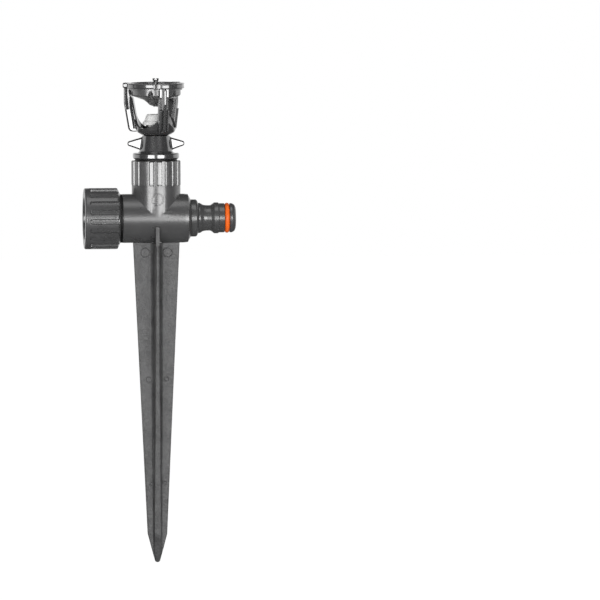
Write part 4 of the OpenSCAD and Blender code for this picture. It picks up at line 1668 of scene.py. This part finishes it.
@dataclass
class Deflector:
    """Bowl with channels in its underside, its lid and the adjusting screw."""

    lid_z: float = 88.1
    lid_t: float = 1.4
    lid_r: float = 12.35
    hub_r: float = 3.05
    soft: float = 0.05
    screw_soft: float = 0.3
    screw_turn: float = 86.5

    def build(self, shop: Workshop) -> None:
        """Makes the bowl, the lid and the screw.

        Args:
            shop: finishes the pieces and sets them on the model.
        """
        bowl = Shape.of_node("deflector").bevelled(self.soft, 2, 34)
        shop.fit(bowl, "deflector_skin", SHEEN, Body.HEAD, ["deflector"], 36)
        top = self.lid_z + self.lid_t
        lid = Shape.turned(
            [(self.hub_r, self.lid_z), (self.lid_r, self.lid_z), (self.lid_r, top, 0.3),
             (self.lid_r - 0.9, top, 0.2), (self.lid_r - 1.2, top - 0.25, 0.2),
             (self.hub_r + 1.0, top - 0.25, 0.2), (self.hub_r + 0.7, top, 0.2),
             (self.hub_r, top, 0.2)],
            120, arc_steps=3,
        )
        shop.fit(lid, "lid_skin", Slot.LID, Body.HEAD, ["deflector_lid"])
        screw = Shape.of_node("adjust_screw").bevelled(self.screw_soft, 3, 34)
        screw.placed(turn_z(self.screw_turn))
        shop.fit(screw, "screw_skin", Slot.GLOSS, Body.SCREW, ["adjust_screw"], 36)


# Studio


@dataclass(frozen=True)
class Softbox:
    """A rectangular lamp that faces the sprinkler.

    Azimuth 0 is in front and turns to the right; power is in watts.
    """

    name: str
    azimuth: float
    elevation: float
    distance: float
    size: tuple[float, float]
    power: float

    def build(self, aim: Vector) -> None:
        """Hangs the lamp so that it looks at a point.

        Args:
            aim: the point, in metres.
        """
        data = bpy.data.lights.new(self.name, "AREA")
        data.shape = "RECTANGLE"
        data.size, data.size_y = self.size
        data.energy = self.power
        lamp = bpy.data.objects.new(self.name, data)
        back = direction(self.azimuth, self.elevation)
        lamp.location = aim + back * self.distance
        lamp.rotation_euler = (-back).to_track_quat("-Z", "Y").to_euler()
        bpy.context.scene.collection.objects.link(lamp)


def direction(azimuth: float, elevation: float) -> Vector:
    """Unit vector towards a place given by two angles in degrees."""
    a, e = math.radians(azimuth), math.radians(elevation)
    return Vector((math.sin(a) * math.cos(e), -math.cos(a) * math.cos(e), math.sin(e)))


@dataclass
class Studio:
    """Camera, lamps, white backdrop and floor.

    The photograph's places are in its 600 pixels: the column of the upright axis and the row of the
    tube's axis. One of its pixels is a fixed number of millimetres on the sprinkler.
    """

    side: int = 600
    axis_column: float = 156.5
    tube_row: float = 218.1
    pixel: float = 0.567
    tube_z: float = TUBE_Z
    azimuth: float = -3.5
    elevation: float = 3.4
    roll: float = -0.226
    distance: float = 12.0
    sensor: float = 36.0
    clip: float = 50.0
    ambient: float = 0.32
    room: float = 0.08
    paper: float = 0.8
    glow: float = 1.12
    glow_share: float = 0.88
    white_depth: tuple[float, float] = (-0.02, 0.15)
    white_height: tuple[float, float] = (0.2, 0.45)
    white_floor: tuple[float, float] = (0.3, 1.2)
    floor_half: float = 3.0
    floor_z: float = -181.6
    boxes: tuple[Softbox, ...] = (
        Softbox("left_box", -27.0, 1, 1.2, (0.68, 0.40), 6.0),
        Softbox("right_box", 21.2, 1, 1.2, (0.72, 0.40), 6.3),
        Softbox("top_box", 0, 75, 1.3, (0.9, 0.7), 2.0),
    )

    def camera(self) -> None:
        """Sets up the camera at the photograph's viewing angle."""
        middle = self.side / 2
        aim = Vector((0, 0, (self.tube_z - (middle - self.tube_row) * self.pixel) * MM))
        back = direction(self.azimuth, self.elevation)
        data = bpy.data.cameras.new("camera")
        data.sensor_width = self.sensor
        data.lens = self.sensor * self.distance / (self.side * self.pixel * MM)
        data.shift_x = (middle - self.axis_column) / self.side
        data.clip_end = self.clip
        made = bpy.data.objects.new("camera", data)
        made.location = aim + back * self.distance
        roll = Matrix.Rotation(math.radians(self.roll), 3, "Z")
        made.rotation_euler = ((-back).to_track_quat("-Z", "Y").to_matrix() @ roll).to_euler()
        bpy.context.scene.collection.objects.link(made)
        bpy.context.scene.camera = made

    def shares(self, tree: Tree, behind: Value) -> tuple[Value, Value, Value]:
        """Tells what kind of ray looks at the backdrop.

        Args:
            tree: the nodes that ask.
            behind: 1 where the ray ends behind the sprinkler.

        Returns:
            1 for what the camera sees, 1 for what a reflection sees, and 1 for a reflection of the
            white part behind the sprinkler.
        """
        path = tree.node("ShaderNodeLightPath")
        camera, glossy, through = (
            Value(tree, path.outputs[f"Is {kind} Ray"])
            for kind in ("Camera", "Glossy", "Transmission")
        )
        mirrored = glossy + through
        return camera, mirrored, mirrored * behind

    def world(self) -> None:
        """A world that is white behind the sprinkler and dim where it only gives light."""
        world = bpy.data.worlds.new("backdrop")
        tree = Tree(world)
        heading = tree.node("ShaderNodeTexCoord").outputs["Generated"]
        depth, height = (
            tree.value("ShaderNodeSeparateXYZ", {}, {0: heading}, axis) for axis in (1, 2)
        )
        seen_behind = depth.between(*self.white_depth) * (1 - height.between(*self.white_height))
        camera, mirrored, behind = self.shares(tree, seen_behind)
        light, room, white = (
            tree.surface("ShaderNodeBackground", {"Color": WHITE, "Strength": strength})
            for strength in (self.ambient, self.room, 1.0)
        )
        around = tree.mixed(mirrored, light, room)
        shown = tree.mixed(camera + behind, around, white)
        tree.node("ShaderNodeOutputWorld", {}, {"Surface": shown})
        bpy.context.scene.world = world

    def floor(self) -> None:
        """A pale floor that reads as white and keeps a soft shadow."""
        mesh = bmesh.new()
        bmesh.ops.create_grid(mesh, x_segments=1, y_segments=1, size=self.floor_half)
        bmesh.ops.translate(mesh, verts=mesh.verts, vec=(0, 0, self.floor_z * MM))
        data = bpy.data.meshes.new("floor")
        mesh.to_mesh(data)
        mesh.free()
        floor = bpy.data.objects.new("floor", data)
        bpy.context.scene.collection.objects.link(floor)
        material = bpy.data.materials.new("floor_white")
        tree = Tree(material)
        place = tree.node("ShaderNodeNewGeometry").outputs["Position"]
        depth = tree.value("ShaderNodeSeparateXYZ", {}, {0: place}, 1)
        camera, mirrored, behind = self.shares(tree, depth.between(*self.white_floor))
        matt = tree.surface("ShaderNodeBsdfDiffuse", {"Color": (*[self.paper] * 3, 1.0)})
        room, white = (
            tree.surface("ShaderNodeEmission", {"Strength": strength})
            for strength in (self.room, self.glow)
        )
        around = tree.mixed(mirrored, matt, room)
        shown = tree.mixed(camera * self.glow_share + behind, around, white)
        tree.node("ShaderNodeOutputMaterial", {}, {"Surface": shown})
        data.materials.append(material)

    def build(self) -> None:
        """Sets up everything round the sprinkler."""
        bpy.context.scene.view_settings.view_transform = "Standard"
        self.camera()
        self.world()
        self.floor()
        for box in self.boxes:
            box.build(Vector((0, 0, 0)))


HIDDEN_NODES = (
    "nipple_seal", "inlet_filter", "stator_plate", "turbine_wheel", "turbine_shaft",
    "gear_housing", "gear_pin", "compound_gear_1", "compound_gear_2", "compound_gear_3",
    "gear_plate", "output_gear", "drive_stem", "thrust_washer", "stem_seal", "stem_bush",
    "screw_o_ring",
)


def main() -> None:
    """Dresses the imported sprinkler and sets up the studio."""
    logging.basicConfig(level=logging.INFO, format="%(name)s: %(message)s")
    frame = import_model()
    shop = Workshop(frame, Paintbox())
    assemblies = (
        GroundSpike, Tee, EndCap, HoseNipple, Collar, HeadBase, Cage, Nozzle, TopRing, Deflector,
    )
    for assembly in assemblies:
        assembly().build(shop)
    for node in HIDDEN_NODES:
        shop.paint_node(node)
    Studio().build()
    LOG.info("%d pieces", len(shop.made))


if __name__ == "__main__":
    main()
